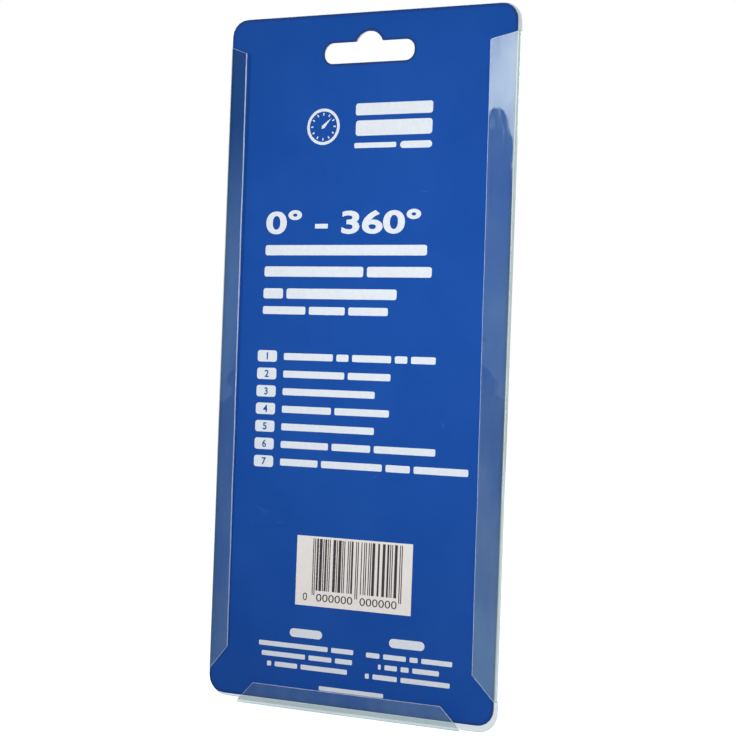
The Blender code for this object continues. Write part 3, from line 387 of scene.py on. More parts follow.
def softLight(name, values):
    # a light with a narrow spread shines straight ahead and isn't mirrored
    place, spread = values["place"], values.get("spread", 180)
    aim = (place[0], 0, place[2]) if spread < 180 else packMiddle
    lamp = bpy.data.lights.new(name, "AREA")
    lamp.color = values.get("colour", (1, 1, 1))
    lamp.shape = "RECTANGLE"
    lamp.size, lamp.size_y = values["size"]
    lamp.energy = values["power"]
    lamp.spread = math.radians(spread)
    holder = linked(name, lamp)
    holder.location = place
    holder.rotation_euler = (Vector(aim) - Vector(place)).to_track_quat("-Z", "Y").to_euler()
    holder.visible_camera = False
    holder.visible_glossy = spread == 180


def buildStudio(values):
    world = bpy.data.worlds.new("studio")
    bpy.context.scene.world = world
    world.use_nodes = True
    tree = world.node_tree
    background = tree.nodes["Background"]
    background.inputs["Color"].default_value = (1, 1, 1, 1)
    base = values["surroundings"]
    seen = whiteForViewers(tree, (values["mirrored"] - base) / (1 - base))
    tree.links.new(remap(tree, seen, base, 1, 0, 1), background.inputs["Strength"])
    for name, light in values["lights"].items():
        softLight(name, light)
    made, tree, shader = newMaterial("paleFloor", values["floor"], values["floorRoughness"], 0, 0)
    lit = shader.outputs[0]
    glow = addNode(tree, "Emission", {"Strength": values["floorGlow"]})
    seen = whiteForViewers(tree, values["floorMirrored"])
    shown = addNode(tree, "MixShader", {0: seen, 1: lit, 2: addNode(tree, "AddShader", {0: lit, 1: glow})})
    tree.links.new(shown, tree.nodes["Material Output"].inputs["Surface"])
    reach = values["floorReach"]
    corners = [(x * reach, y * reach, shellLow.z) for x, y in ((-1, -1), (1, -1), (1, 1), (-1, 1))]
    newPiece("floor", meshFrom("floor", corners, [(0, 1, 2, 3)]), made, None, smooth=False)
    bpy.context.scene.view_settings.view_transform = "Standard"


buildStudio(studio)
print("studio lit")


# The clear sheet, seen as one thin layer that mirrors a little and mirrors more at a slant

sheetLook = {
    "faces": {"passed": (0.965, 0.980, 0.976), "atSlant": (0.50, 0.60, 0.58), "slantPower": 3.0,
              "mirror": 0.036, "mirrorColour": (0.90, 0.96, 1.0)},
    # the flange's rim round the card: partly the sheet's own grey-green tint, partly painted shade
    "rimPassed": (0.55, 0.60, 0.61),
    "mirrorPower": 4.0,
    "folds": {"passed": (0.982, 0.990, 0.988), "atSlant": (0.58, 0.66, 0.64), "slantPower": 1.4,
              "mirror": 0.132, "mirrorColour": (0.60, 0.93, 1.0)},
    "patchMirror": (0.72, 1.28),  # the folds mirror in uneven patches
    "patchNoise": (75, 4, 0.6, (1, 1, 0.4)),
    "paintedShadePassed": (0.72, 0.80, 0.78),  # painted shade: the left fold is dimmer and mirrors less near its top
    "paintedShadeMirror": 0.2,
    "paintedShadeFrom": (-78 * mm, -30 * mm),
    "bandPassed": (0.63, 0.68, 0.69),  # where the fold stands clear of the card: partly the sheet's own grey-green tint, partly painted shade
    "veil": 1.65,  # painted reflection: how much more the right fold mirrors towards its foot
    "veilAcross": (-45 * mm, 0),
    "veilDown": (-150 * mm, -60 * mm),
    "roughness": (0.02, 0.09),
    "scuffNoise": (900, 3, 0.7, (1, 1, 0.15)),
    "scuffRange": (0.45, 0.75),
    "waveNoise": (55, 2, 0.4),
    "waveHeight": 0.00012,
    # the cut edge's pale colours: partly the frosted cut, partly a painted highlight
    "cutEdge": (0.65, 0.77, 0.95),
    "cutEdgeFrostAndGlint": ((0.52, 0.65, 0.90), (0.76, 0.86, 0.98)),
    "cutEdgeNoise": (700, 3, 0.6),
    "cutEdgeAlpha": 0.85,
}


def outsideCard(tree):
    # 1 behind and past the card's sides and foot, 0 elsewhere
    pastSide = maths(tree, "GREATER_THAN", maths(tree, "ABSOLUTE", objectAxis(tree, "X")), cardHigh.x)
    pastFoot = maths(tree, "LESS_THAN", objectAxis(tree, "Z"), cardLow.z)
    behind = maths(tree, "GREATER_THAN", objectAxis(tree, "Y"), cardHigh.y / 2)
    return maths(tree, "MULTIPLY", maths(tree, "MAXIMUM", pastSide, pastFoot), behind)


def dimTop(tree, span):
    # 0 over the folds, rising to 1 at the top of the left one, where shade is painted
    onLeft = maths(tree, "GREATER_THAN", objectAxis(tree, "X"), 0)
    return maths(tree, "MULTIPLY", onLeft, remap(tree, objectAxis(tree, "Z"), 0, 1, *span))


def footVeil(tree, look):
    # 1 over the folds, rising towards the foot of the right one, where more reflection is painted
    toRight = remap(tree, objectAxis(tree, "X"), 1, 0, *look["veilAcross"])
    toFoot = remap(tree, objectAxis(tree, "Z"), 1, 0, *look["veilDown"])
    return remap(tree, maths(tree, "MULTIPLY", toRight, toFoot), 1, look["veil"], 0, 1)


def makeClearSheet(name, look, part, facePassed=None):
    values = look[part]
    made, tree, shader = newMaterial(name, values["mirrorColour"], look["roughness"][0], 1.0)
    facing = addNode(tree, "LayerWeight", {"Blend": 0.5}, "Facing")
    mirror = remap(tree, maths(tree, "POWER", facing, look["mirrorPower"]), values["mirror"], 1, 0, 1)
    slant = maths(tree, "POWER", facing, values["slantPower"])
    passed = mixColours(tree, slant, facePassed or values["passed"], values["atSlant"])
    if part == "folds":
        # painted shade: darker passed colour and less reflection at the top of the left fold
        dim = dimTop(tree, look["paintedShadeFrom"])
        passed = mixColours(tree, dim, passed, look["paintedShadePassed"])
        passed = mixColours(tree, outsideCard(tree), passed, look["bandPassed"])
        patches = remap(tree, objectNoise(tree, *look["patchNoise"]), *look["patchMirror"])
        for change in (remap(tree, dim, 1, look["paintedShadeMirror"], 0, 1), footVeil(tree, look), patches):
            mirror = maths(tree, "MULTIPLY", mirror, change)
    clear = addNode(tree, "BsdfTransparent", {"Color": passed})
    addBump(tree, shader, objectNoise(tree, *look["waveNoise"]), 1.0, look["waveHeight"])
    scuffs = remap(tree, objectNoise(tree, *look["scuffNoise"]), *look["roughness"], *look["scuffRange"])
    tree.links.new(scuffs, shader.inputs["Roughness"])
    shown = addNode(tree, "MixShader", {0: mirror, 1: clear, 2: shader.outputs[0]})
    tree.links.new(shown, tree.nodes["Material Output"].inputs["Surface"])
    return made


def makeCutEdge(look):
    # a sheared edge of the sheet gathers light and looks like a pale thread; its pale colour is partly the
    # frosted cut and partly a painted highlight
    made, tree, shader = newMaterial("sheetCutEdge", look["cutEdge"], 0.32, 0, 0.6)
    frostAndGlint = remap(tree, objectNoise(tree, *look["cutEdgeNoise"]), 0, 1)
    tree.links.new(mixColours(tree, frostAndGlint, *look["cutEdgeFrostAndGlint"]), shader.inputs["Base Color"])
    shader.inputs["Alpha"].default_value = look["cutEdgeAlpha"]
    return made


clearSheet = makeClearSheet("clearSheet", sheetLook, "faces")
foldedSheet = makeClearSheet("foldedSheet", sheetLook, "folds")
rimSheet = makeClearSheet("rimSheet", sheetLook, "faces", sheetLook["rimPassed"])
cutEdge = makeCutEdge(sheetLook)

sheet = {
    "depth": 0.55 * mm,  # how far in front of the card the flat sheet lies
    "corner": 6.5 * mm,
    "slotWidth": 33.1 * mm,
    "slotHeight": 7.6 * mm,
    "slotTop": -3.0 * mm,
    "slotCorner": 3.5 * mm,
    "slotBump": 5.3 * mm,
    "slotBumpHeight": -5 * mm,
    "foldRadius": 0.8 * mm,
    "foldForward": 0.14 * mm,  # how far in front of the card's middle the folds turn
    "foldSetIn": 1.0 * mm,
    "leftFoldSetIn": 1.65 * mm,
    "topSetIn": 0.35 * mm,
    "cornerSetIn": (0.25 * mm, 0.7 * mm),  # how far the flat corner stops short of the side and of the foot
    "leftCornerSetIn": (0.85 * mm, 1.9 * mm),
    "cardBorder": 0.7 * mm,  # the flange is rimmed from this far inside the card's edge
    "sideFold": (10.8 * mm, 9.8 * mm),  # how far from the foot and from the top the fold starts
    "sideEdge": (18.6 * mm, 12.7 * mm),  # and the flap's free edge
    "sideWidth": (8.3 * mm, 8.7 * mm),
    "sideTilt": (6, 23),
    "footFold": 12.3 * mm,
    "footEdge": 18.7 * mm,
    "footWidth": (7.6 * mm, 7.6 * mm),
    "footTilt": (7, 7),
    "wave": 0.24 * mm,
    "waveNoises": ((42, 1), (110, 0.5)),  # size and weight
    "curl": 0.8,  # how much more the flap leans at its fold than at its free edge
    "bendSteps": 12,
    "flapSteps": 14,
    "sideRows": 70,
    "footRows": 40,
    "edgeThread": 0.25 * mm,
    "edgeFlat": 0.25,
    "rimThread": 0.2 * mm,
    "rimFlat": 0.5,
}


def slotPoints(values, bump):
    half, top = values["slotWidth"] / 2, values["slotTop"]
    centre = (0, values["slotBumpHeight"])
    rise = top - centre[1]
    reach = math.atan2(rise, math.sqrt(bump ** 2 - rise ** 2))
    outline = roundOutline(boxCorners(-half, half, top - values["slotHeight"], top, values["slotCorner"]))
    over = circlePoints(bump, 18, centre, reach, math.pi - 2 * reach)
    cutIn = 3 * 9  # three rounded corners of nine points come before the bump
    return outline[:cutIn] + over + outline[cutIn:]


def sheetRuns(values):
    # the flange's cut edges: round one foot corner, over the top, round the other foot corner
    half, foot, top = packHalf, shellLow.z, shellHigh.z
    foldLow, foldHigh = foot + values["sideFold"][0], top - values["sideFold"][1]

    def corners(way, foldSetIn, cornerSetIn):
        fold, edge = way * (half - foldSetIn), way * (half - cornerSetIn[0])
        foldFoot, low = way * (half - values["footFold"]), foot + cornerSetIn[1]
        lower = [(foldFoot, foot + values["foldSetIn"], 0), (foldFoot, low, 0), (edge, low, values["corner"]),
                 (edge, foldLow, 0), (fold, foldLow, 0)]
        upper = [(fold, foldHigh, 0), (edge, foldHigh, 0), (edge, top - values["topSetIn"], values["corner"])]
        return lower, upper

    lowLeft, topLeft = corners(1, values["leftFoldSetIn"], values["leftCornerSetIn"])
    lowRight, topRight = corners(-1, values["foldSetIn"], values["cornerSetIn"])
    return [roundOutline(lowLeft), roundOutline(topLeft + topRight[::-1]), roundOutline(lowRight[::-1])]


def borderOutline(values):
    setIn = values["cardBorder"]
    sides = (cardLow.x + setIn, cardHigh.x - setIn, cardLow.z + setIn, cardHigh.z - setIn)
    return roundOutline(boxCorners(*sides, values["corner"] - setIn))


# The bubble's moulds: the channel round the arm, the dial's pocket, the turret and the magnet's pocket

bubble = {
    "draft": 3,
    "channelHalf": 9.3 * mm,
    "channelDepth": 20.3 * mm,
    "armSpread": 22.0 * mm,
    "bendHeight": -62.0 * mm,
    "islandFloor": 1.7 * mm,
    "islandCorner": 5.0 * mm,
    "islandFoot": 45.9 * mm,  # above the dial's middle
    "discRadius": 39.84 * mm,
    "discDepth": 26.6 * mm,
    "turretRadius": 20.7 * mm,
    "magnetHalf": 12.3 * mm,
    "magnetTop": -83.3 * mm,
    "magnetFoot": -114.7 * mm,
    "magnetDepth": 22.3 * mm,
    "magnetCorner": 0.7,  # as a share of its half width
    "slab": [(-47 * mm, -207 * mm), (47 * mm, -207 * mm), (47 * mm, -24 * mm), (-47 * mm, -24 * mm)],
    "hollowPast": 2 * mm,
    "voxel": 0.72 * mm,
    "softening": 14,
    "cutAbove": 0.06 * mm,  # the bubble is cut off this far in front of the flat sheet
    "flatWithin": 0.02 * mm,
}


def plugMesh(outline, depth, slope, start=-3 * mm, widest=0):
    # outline(inset) gives the loop in X and Z, which draws in past the widest depth
    return loftMesh("plug", [
        [(x, -d, z) for x, z in outline(slope * max(d - widest, 0))] for d in (start, depth)])


def bubbleSolid(values):
    spread, bend, half = values["armSpread"], values["bendHeight"], values["channelHalf"]
    slope = math.tan(math.radians(values["draft"]))

    def channel(inset):
        reach = spread + half - inset
        return [(reach, dialZ), *circlePoints(reach, 40, (0, bend), 0, math.pi), (-reach, dialZ)]

    def island(inset):
        reach = spread - half + inset
        foot, corner = dialZ + values["islandFoot"] - inset, values["islandCorner"]
        under = roundOutline([(-reach, foot, corner), (reach, foot, corner), (reach, bend, 0)], 6)
        return [*circlePoints(reach, 32, (0, bend), 0, math.pi), *under[:-1]]

    def disc(inset):
        return circlePoints(values["discRadius"] - inset, 96, (0, dialZ))

    def turret(inset):
        return circlePoints(values["turretRadius"] - inset, 72, (0, dialZ))

    def magnet(inset):
        reach = values["magnetHalf"] - inset
        low, high = values["magnetFoot"] + inset, values["magnetTop"] - inset
        corner = reach * values["magnetCorner"]
        return roundOutline(boxCorners(spread - reach, spread + reach, low, high, corner), 6)

    floor, depth = values["islandFloor"], values["channelDepth"]
    hollow = plugMesh(island, depth + values["hollowPast"], slope, floor, floor)
    return meshOf("bubbleSolid", workingCopy(
        combine(plugMesh(channel, depth, slope), [(hollow, "DIFFERENCE")]),
        plugMesh(disc, values["discDepth"], slope),
        plugMesh(turret, -shellLow.y, slope),
        plugMesh(magnet, values["magnetDepth"], slope),
        plugMesh(lambda inset: values["slab"], sheet["depth"], 0)))


def edgeLoop(work, outline, depth):
    verts = [work.verts.new((x, -depth, z)) for x, z in outline]
    return [work.edges.new((a, b)) for a, b in zip(verts, verts[1:] + verts[:1])]


def buildBubble(values, flat):
    soft = reshaped(bubbleSolid(values), ("REMESH", {"mode": "VOXEL", "voxel_size": values["voxel"]}),
                    ("SMOOTH", {"factor": 0.5, "iterations": values["softening"]}))
    work = workingCopy(soft)
    depth = flat["depth"]
    level = depth + values["cutAbove"]
    everything = work.verts[:] + work.edges[:] + work.faces[:]
    bmesh.ops.bisect_plane(
        work, geom=everything, plane_co=(0, -level, 0), plane_no=(0, 1, 0), clear_outer=True)
    rim = [edge for edge in work.edges if edge.is_boundary]
    for vert in {v for edge in rim for v in edge.verts}:
        vert.co.y = -depth
    outer = edgeLoop(work, [point for run in sheetRuns(flat) for point in run], depth)
    border = edgeLoop(work, borderOutline(flat), depth)
    slot = edgeLoop(work, slotPoints(flat, flat["slotBump"]), depth)
    for index, edges in ((1, outer + border), (0, border + slot + rim)):
        filled = bmesh.ops.triangle_fill(
            work, use_beauty=True, use_dissolve=False, edges=edges, normal=(0, -1, 0))
        for part in filled["geom"]:
            if isinstance(part, bmesh.types.BMFace):
                part.material_index = index
    mesh = meshOf("clearBubble", work)
    piece = newPiece("clearBubble", mesh, clearSheet, "pack", angle=60)
    mesh.materials.append(rimSheet)
    level = -depth - values["flatWithin"]
    for face in mesh.polygons:
        if min(mesh.vertices[i].co.y for i in face.vertices) > level:
            face.use_smooth = False
    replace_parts(piece, "blister_shell")
    print("bubble", len(mesh.polygons), "faces")


buildBubble(bubble, sheet)


# The folded edges and their flaps

def between(pair, share):
    return pair[0] + (pair[1] - pair[0]) * share


def foldSection(tilt, width, setIn, values):
    # (out from the pack's edge, back, share of the flap) along the sheet, from the flange to the free edge
    lean, radius = math.radians(tilt), values["foldRadius"]
    middle = cardHigh.y / 2 - values["foldForward"]
    bend, flat = values["bendSteps"], values["flapSteps"]
    points = []
    for i in range(bend + 1):
        angle = -math.pi / 2 + (math.pi - lean) * i / bend
        points.append((-setIn + radius * math.cos(angle), middle + radius * math.sin(angle), 0))
    out, back, _ = points[-1]
    step = (width + out) / math.cos(lean) / flat
    for i in range(1, flat + 1):
        here = lean + math.radians(values["curl"]) * (0.5 - (i - 0.5) / flat)
        out, back = out - step * math.cos(here), back + step * math.sin(here)
        points.append((out, back, i / flat))
    return points


def foldGrid(point, foldEnds, edgeEnds, tilts, widths, setIn, rows, values):
    grid = []
    for row in range(rows + 1):
        share = row / rows
        line = []
        for out, back, mitre in foldSection(between(tilts, share), between(widths, share), setIn, values):
            low, high = (between(pair, mitre) for pair in zip(foldEnds, edgeEnds))
            place = Vector(point(out, back, between((low, high), share)))
            swell = sum(weight * noise.noise(place * size) for size, weight in values["waveNoises"])
            place.y += values["wave"] * swell * mitre
            line.append(place)
        grid.append(line)
    return grid


def freeEdge(grid, bend):
    # the flap's cut edge, with the way that the sheet faces at each point of it
    lastRow, lastColumn = len(grid) - 1, len(grid[0]) - 1
    places = [(0, column) for column in range(bend, lastColumn + 1)]
    places += [(row, lastColumn) for row in range(1, lastRow)]
    places += [(lastRow, column) for column in range(lastColumn, bend - 1, -1)]
    normals = []
    for row, column in places:
        down = grid[min(row + 1, lastRow)][column] - grid[max(row - 1, 0)][column]
        over = grid[row][min(column + 1, lastColumn)] - grid[row][column - 1]
        normals.append(down.cross(over).normalized())
    return [grid[row][column] for row, column in places], normals


def buildFolds(values):
    half, top, foot = packHalf, shellHigh.z, shellLow.z
    side = [(foot + low, top - high) for low, high in (values["sideFold"], values["sideEdge"])]
    side += [values["sideTilt"], values["sideWidth"]]
    under = [(-half + inset, half - inset) for inset in (values["footFold"], values["footEdge"])]
    under += [values["footTilt"], values["footWidth"]]
    setIn, leftSetIn, rows = values["foldSetIn"], values["leftFoldSetIn"], values["sideRows"]
    grids = {
        "sideFoldRight": foldGrid(lambda o, b, z: (-half - o, b, z), *side, setIn, rows, values),
        "sideFoldLeft": foldGrid(lambda o, b, z: (half + o, b, z), *side, leftSetIn, rows, values),
        "footFold": foldGrid(lambda o, b, x: (x, b, foot - o), *under, setIn, values["footRows"], values),
    }
    for name, grid in grids.items():
        newPiece(name, gridMesh(name, grid, closedColumns=False), foldedSheet, "pack", angle=60)
        edge, normals = freeEdge(grid, values["bendSteps"])
        thread = threadMesh(name, edge, values["edgeThread"], normals, values["edgeFlat"])
        newPiece(f"{name}Edge", thread, cutEdge, "pack")
    runs = dict(zip(("sheetEdgeLeft", "sheetEdgeTop", "sheetEdgeRight"), sheetRuns(values)))
    for name, outline in {**runs, "slotEdge": slotPoints(values, values["slotBump"])}.items():
        path = [(x, -values["depth"], z) for x, z in outline]
        closed = name == "slotEdge"
        thread = threadMesh(name, path, values["rimThread"], None, values["rimFlat"], closed=closed)
        newPiece(name, thread, cutEdge, "pack")


buildFolds(sheet)
print("folds made")


# The printed card

cardLook = {
    "blue": (0.0066, 0.0565, 0.284),
    "blueWorn": (0.0100, 0.066, 0.306),
    "bluePaintedEdgeShade": (0.0105, 0.036, 0.150),  # painted shade: the blue darkens along the cut edge
    "paintedEdgeShadeReach": 1.3 * mm,
    "corner": 5.5 * mm,
    "core": (0.62, 0.66, 0.70),
    "cloudNoise": (35, 4, 0.6),
    "gloss": (0.34, 0.52),
    "glossNoise": (260, 4, 0.6),
    "grain": (0.12, 0.00004),  # strength and depth
    "grainNoise": (1500, 2, 0.6),
}


def nearOutline(tree, reach, corner):
    # 0 over the card, rising to 1 along its outline, where edge shade is painted
    straight = (cardHigh.x - corner, 1, (cardHigh.z - cardLow.z) / 2 - corner)
    away = vectorMaths(tree, "SUBTRACT", objectPlace(tree), (0, 0, (cardLow.z + cardHigh.z) / 2))
    past = vectorMaths(tree, "SUBTRACT", vectorMaths(tree, "ABSOLUTE", away), straight)
    distance = vectorMaths(tree, "LENGTH", vectorMaths(tree, "MAXIMUM", past, (0, 0, 0)), output="Value")
    return remap(tree, distance, 0, 1, corner - reach, corner)


def makeCardMaterial(look):
    made, tree, shader = newMaterial("printedCard", look["blue"], 0.42, 0, 0.07)
    clouds = remap(tree, objectNoise(tree, *look["cloudNoise"]), 0, 1)
    plain = mixColours(tree, clouds, look["blue"], look["blueWorn"])
    # the card's blue with painted shade along its cut edge
    colouring = mixColours(tree, nearOutline(tree, look["paintedEdgeShadeReach"], look["corner"]), plain, look["bluePaintedEdgeShade"])
    facing = addNode(tree, "SeparateXYZ", {0: addNode(tree, "NewGeometry", output="True Normal")}, "Y")
    printed = maths(tree, "GREATER_THAN", maths(tree, "ABSOLUTE", facing), 0.5)
    tree.links.new(mixColours(tree, printed, look["core"], colouring), shader.inputs["Base Color"])
    gloss = remap(tree, objectNoise(tree, *look["glossNoise"]), *look["gloss"])
    tree.links.new(gloss, shader.inputs["Roughness"])
    addBump(tree, shader, objectNoise(tree, *look["grainNoise"]), *look["grain"])
    return made


printedCard = makeCardMaterial(cardLook)
printWhite = makeFinish("printWhite", "print", (0.61, 0.675, 0.73), (0.56, 0.62, 0.68))
panelWhite = makeFinish("panelWhite", "print", (0.69, 0.68, 0.66), (0.65, 0.64, 0.62))
rubbedBlue = makeFinish("rubbedBlue", "print", (0.040, 0.135, 0.42), (0.014, 0.085, 0.36))
# painted shadow round the slot's cut edge
slotShadowBlue = makeFinish("slotShadowBlue", "print", (0.012, 0.045, 0.19), cardLook["bluePaintedEdgeShade"])
printBlack = makeFinish("printBlack", "print", (0.03, 0.03, 0.035), (0.05, 0.05, 0.055))

# Places of the print in millimetres, across and down from the card's top left corner as seen from behind
backPrint = {
    "lift": 0.03 * mm,
    "title": ("0° - 360°", (15.5, 72.4), 8.0, 56.4, 0.03),
    "headings": [
        (15.6, 76.0, 3.4, [58.8]),
        (15.5, 83.1, 3.4, [36.6, 22.9]),
        (15.4, 90.4, 3.4, [7.4, 40.2]),
        (15.4, 96.4, 2.6, [16.0, 13.2, 14.2]),
    ],
    "rowPlace": (14.1, 111.1),
    "rowPitch": 5.84,
    "pill": (7.3, 3.8, 0.9),
    "pillNumber": (0.82, 0.64),  # its foot and height as shares of the pill's height
    "rowBars": (24.0, 0.75, 2.3),
    "rows": [
        [18.2, 4.4, 14.0, 4.4, 8.6],
        [22.6, 15.3],
        [33.8],
        [18.2, 19.6],
        [34.0],
        [17.6, 14.0, 21.6],
        [14.0, 22.0, 8.6, 18.8],
    ],
    "panel": (31.6, 171.7, 41.7, 22.9, 0.05),
    "bars": (37.6, 172.4, 32.2, 17.0),
    "barWidths": (0.33, 0.33, 0.66, 1.0),  # of a made-up bar code and the gaps in it
    "guardRoom": 1.4,  # for the two thin guard bars at each end and in the middle
    "guardDrop": 1.6,
    "barCorner": 0.01,
    "digits": [("0", (34.4, 192.9), 2.5), ("000000", (39.3, 192.9), 2.5, 13.2),
               ("000000", (55.1, 192.9), 2.5, 13.2)],
    "pictogram": ((35.6, 37.0), 6.0),
    "plainBars": [
        (30.0, 202.5, 12.0, 2.8), (66.1, 202.4, 12.4, 2.9),
        (47.3, 29.8, 27.4, 3.9, 0.8), (47.5, 35.4, 27.2, 5.0, 1.0),
        (47.2, 42.7, 15.0, 1.7, 0.4), (63.6, 42.5, 11.2, 2.3, 1.1),
    ],
    "address": [
        (18.6, 207.5, 1.6, [25.6, 8.0]),
        (19.8, 210.8, 1.6, [16.2, 8.4, 6.2]),
        (21.9, 214.1, 1.6, [1.6, 8.4, 17.0]),
        (58.1, 207.7, 1.6, [4.8, 8.0, 2.8, 10.6]),
        (62.5, 211.1, 1.6, [1.0, 4.4, 2.8, 9.2]),
        (58.0, 214.5, 1.6, [1.4, 8.6, 17.0]),
        (41.5, 220.4, 1.4, [23.2]),
    ],
    "wordGap": 1.3,
}

# And on the front, across from the card's middle line
frontPrint = {
    "title": ("0° - 360°", (0, 27.6), 6.4, None, 0.03, True),
    "bars": [(-43.0, 21.4, 1.8, [12.4, 6.0]), (-43.0, 24.6, 1.8, [7.6, 8.4]),
             (23.3, 21.4, 1.8, [8.6, 9.8]), (26.0, 24.6, 1.8, [5.4, 10.3])],
    "inset": (-12.0, 82.0, 24.0, 32.0, 2.5),
    "insetBars": [(-9.0, 102.4, 1.5, [11.6, 5.2]), (-9.0, 105.4, 1.5, [6.0, 10.8]),
                  (-9.0, 108.4, 1.5, [13.0])],
    "insetGap": 1.0,
    "pictogram": ((0, 92.2), 6.4),
    "plainBars": [(-47.5, 211.2, 14.0, 1.6, 0.4), (-47.5, 214.0, 9.0, 1.6, 0.4),
                  (33.5, 211.2, 14.0, 1.6, 0.4), (33.5, 214.0, 9.0, 1.6, 0.4)],
}


# A drawn dial, with its measures as shares of the ring's radius
drawnDial = {
    "steps": 48,
    "inner": 0.84,
    "marks": 12,
    "markHalf": 0.035,
    "markSpan": (0.62, 0.76),
    "tip": (0.62, -0.62),
    "tipReach": 0.78,
    "tail": 0.25,
    "side": (0.7, 0.7),
    "sideReach": 0.1,
}


def onBack(lift):
    return lambda across, down: (cardHigh.x - across * mm, cardHigh.y + lift, cardHigh.z - down * mm)


def onFront(lift):
    return lambda across, down: (across * mm, cardLow.y - lift, cardHigh.z - down * mm)


def textMesh(words, weight, centred):
    curve = bpy.data.curves.new(words, "FONT")
    curve.body, curve.size, curve.offset = words, 1, weight
    curve.align_x = "CENTER" if centred else "LEFT"
    return reshaped(curve)


class FlatPrint:
    # gathers flat shapes that are printed on one face of the card or the dial

    def __init__(self, name, toWorld):
        self.name = name
        self.toWorld = toWorld
        self.verts = []
        self.faces = []

    def add(self, outline):
        start = len(self.verts)
        self.verts += [self.toWorld(u, v) for u, v in outline]
        self.faces.append(tuple(range(start, len(self.verts))))

    def addRing(self, first, second):
        for i in range(len(first)):
            j = (i + 1) % len(first)
            self.add([first[i], first[j], second[j], second[i]])

    def addBar(self, left, top, width, height, radius=None):
        radius = min(width, height) * 0.5 - 1e-4 if radius is None else radius
        corners = boxCorners(left, left + width, top, top + height, min(radius, width * 0.49, height * 0.49))
        self.add(roundOutline(corners, 4))

    def addBarLine(self, left, top, height, words, gap):
        # plain bars, one for each word that a label would have there
        for width in words:
            self.addBar(left, top, width, height, height * 0.22)
            left += width + gap

    def addMesh(self, mesh, place):
        start = len(self.verts)
        self.verts += [self.toWorld(*place(v.co)) for v in mesh.vertices]
        self.faces += [tuple(start + i for i in p.vertices) for p in mesh.polygons]

    def addText(self, words, place, height, width=None, weight=0.0, centred=False):
        mesh = textMesh(words, weight, centred)
        xs, ys = [v.co.x for v in mesh.vertices], [v.co.y for v in mesh.vertices]
        tall = height / (max(ys) - min(ys))
        wide = width / (max(xs) - min(xs)) if width else tall
        left, base = 0 if centred else min(xs), min(ys)
        self.addMesh(mesh, lambda co: (place[0] + (co.x - left) * wide, place[1] - (co.y - base) * tall))

    def addTurnedText(self, words, angle, radius, height, weight):
        # upright along the radius, its middle at that radius
        mesh = textMesh(words, weight, True)
        ys = [v.co.y for v in mesh.vertices]
        size, middle = height / (max(ys) - min(ys)), (max(ys) + min(ys)) / 2
        turn = Matrix.Rotation(-angle, 2)
        self.addMesh(mesh, lambda co: turn @ Vector((co.x * size, (co.y - middle) * size + radius)))

    def addPictogram(self, centre, radius, values=drawnDial):
        # a plain dial: an open ring, its marks and a pointer
        def place(*points):
            self.add([(centre[0] + p.x, centre[1] + p.y) for p in points])

        reaches = (radius, radius * values["inner"])
        self.addRing(*(circlePoints(reach, values["steps"], centre) for reach in reaches))
        for x, y in circlePoints(1, values["marks"]):
            side = Vector((-y, x)) * radius * values["markHalf"]
            near, far = (Vector((x, y)) * radius * share for share in values["markSpan"])
            place(near - side, far - side, far + side, near + side)
        tip = Vector(values["tip"]) * radius * values["tipReach"]
        side = Vector(values["side"]) * radius * values["sideReach"]
        place(tip, side, -tip * values["tail"], -side)

    def finish(self, material, body):
        return newPiece(self.name, meshFrom(self.name, self.verts, self.faces), material, body, smooth=False)


def addBarCode(bars, values):
    left, top, width, height = values["bars"]
    thin, room, corner = values["barWidths"][0], values["guardRoom"], values["barCorner"]
    for guard in (0, width / 2 - 1.5 * thin, width - 3 * thin):
        for step in (0, 2 * thin):
            bars.addBar(left + guard + step, top, thin, height + values["guardDrop"], corner)
    picker = random.Random(7)
    for across, end in ((room, width / 2 - room), (width / 2 + room, width - room)):
        bar = picker.choice(values["barWidths"])
        while across + bar <= end:
            bars.addBar(left + across, top, bar, height, corner)
            across += bar + picker.choice(values["barWidths"])
            bar = picker.choice(values["barWidths"])
    for digits in values["digits"]:
        bars.addText(*digits)


def buildBackPrint(values):
    lift = values["lift"]
    white = FlatPrint("printWhiteBack", onBack(lift))
    numbers = FlatPrint("printPillNumbers", onBack(2 * lift))
    panel = FlatPrint("printBarPanel", onBack(lift))
    bars = FlatPrint("printBars", onBack(2 * lift))
    white.addText(*values["title"])
    for line in values["headings"] + values["address"]:
        white.addBarLine(*line, values["wordGap"])
    left, top = values["rowPlace"]
    width, height, corner = values["pill"]
    foot, tall = values["pillNumber"]
    textLeft, textDown, textHeight = values["rowBars"]
    for i, words in enumerate(values["rows"]):
        down = top + i * values["rowPitch"]
        white.addBar(left, down, width, height, corner)
        numbers.addText(str(i + 1), (left + width / 2, down + height * foot), height * tall, None, 0.02, True)
        white.addBarLine(textLeft, down + textDown, textHeight, words, values["wordGap"])
    for bar in values["plainBars"]:
        white.addBar(*bar)
    panel.addBar(*values["panel"])
    addBarCode(bars, values)
    white.addPictogram(*values["pictogram"])
    for target, colouring in ((white, printWhite), (numbers, printedCard), (panel, panelWhite), (bars, printBlack)):
        target.finish(colouring, "card")


def buildFrontPrint(values, lift):
    white = FlatPrint("printWhiteFront", onFront(lift))
    marks = FlatPrint("printInsetMarks", onFront(2 * lift))
    white.addText(*values["title"])
    for line in values["bars"]:
        white.addBarLine(*line, backPrint["wordGap"])
    for line in values["insetBars"]:
        marks.addBarLine(*line, values["insetGap"])
    marks.addPictogram(*values["pictogram"])
    for bar in [values["inset"], *values["plainBars"]]:
        white.addBar(*bar)
    white.finish(printWhite, "card")
    marks.finish(printedCard, "card")


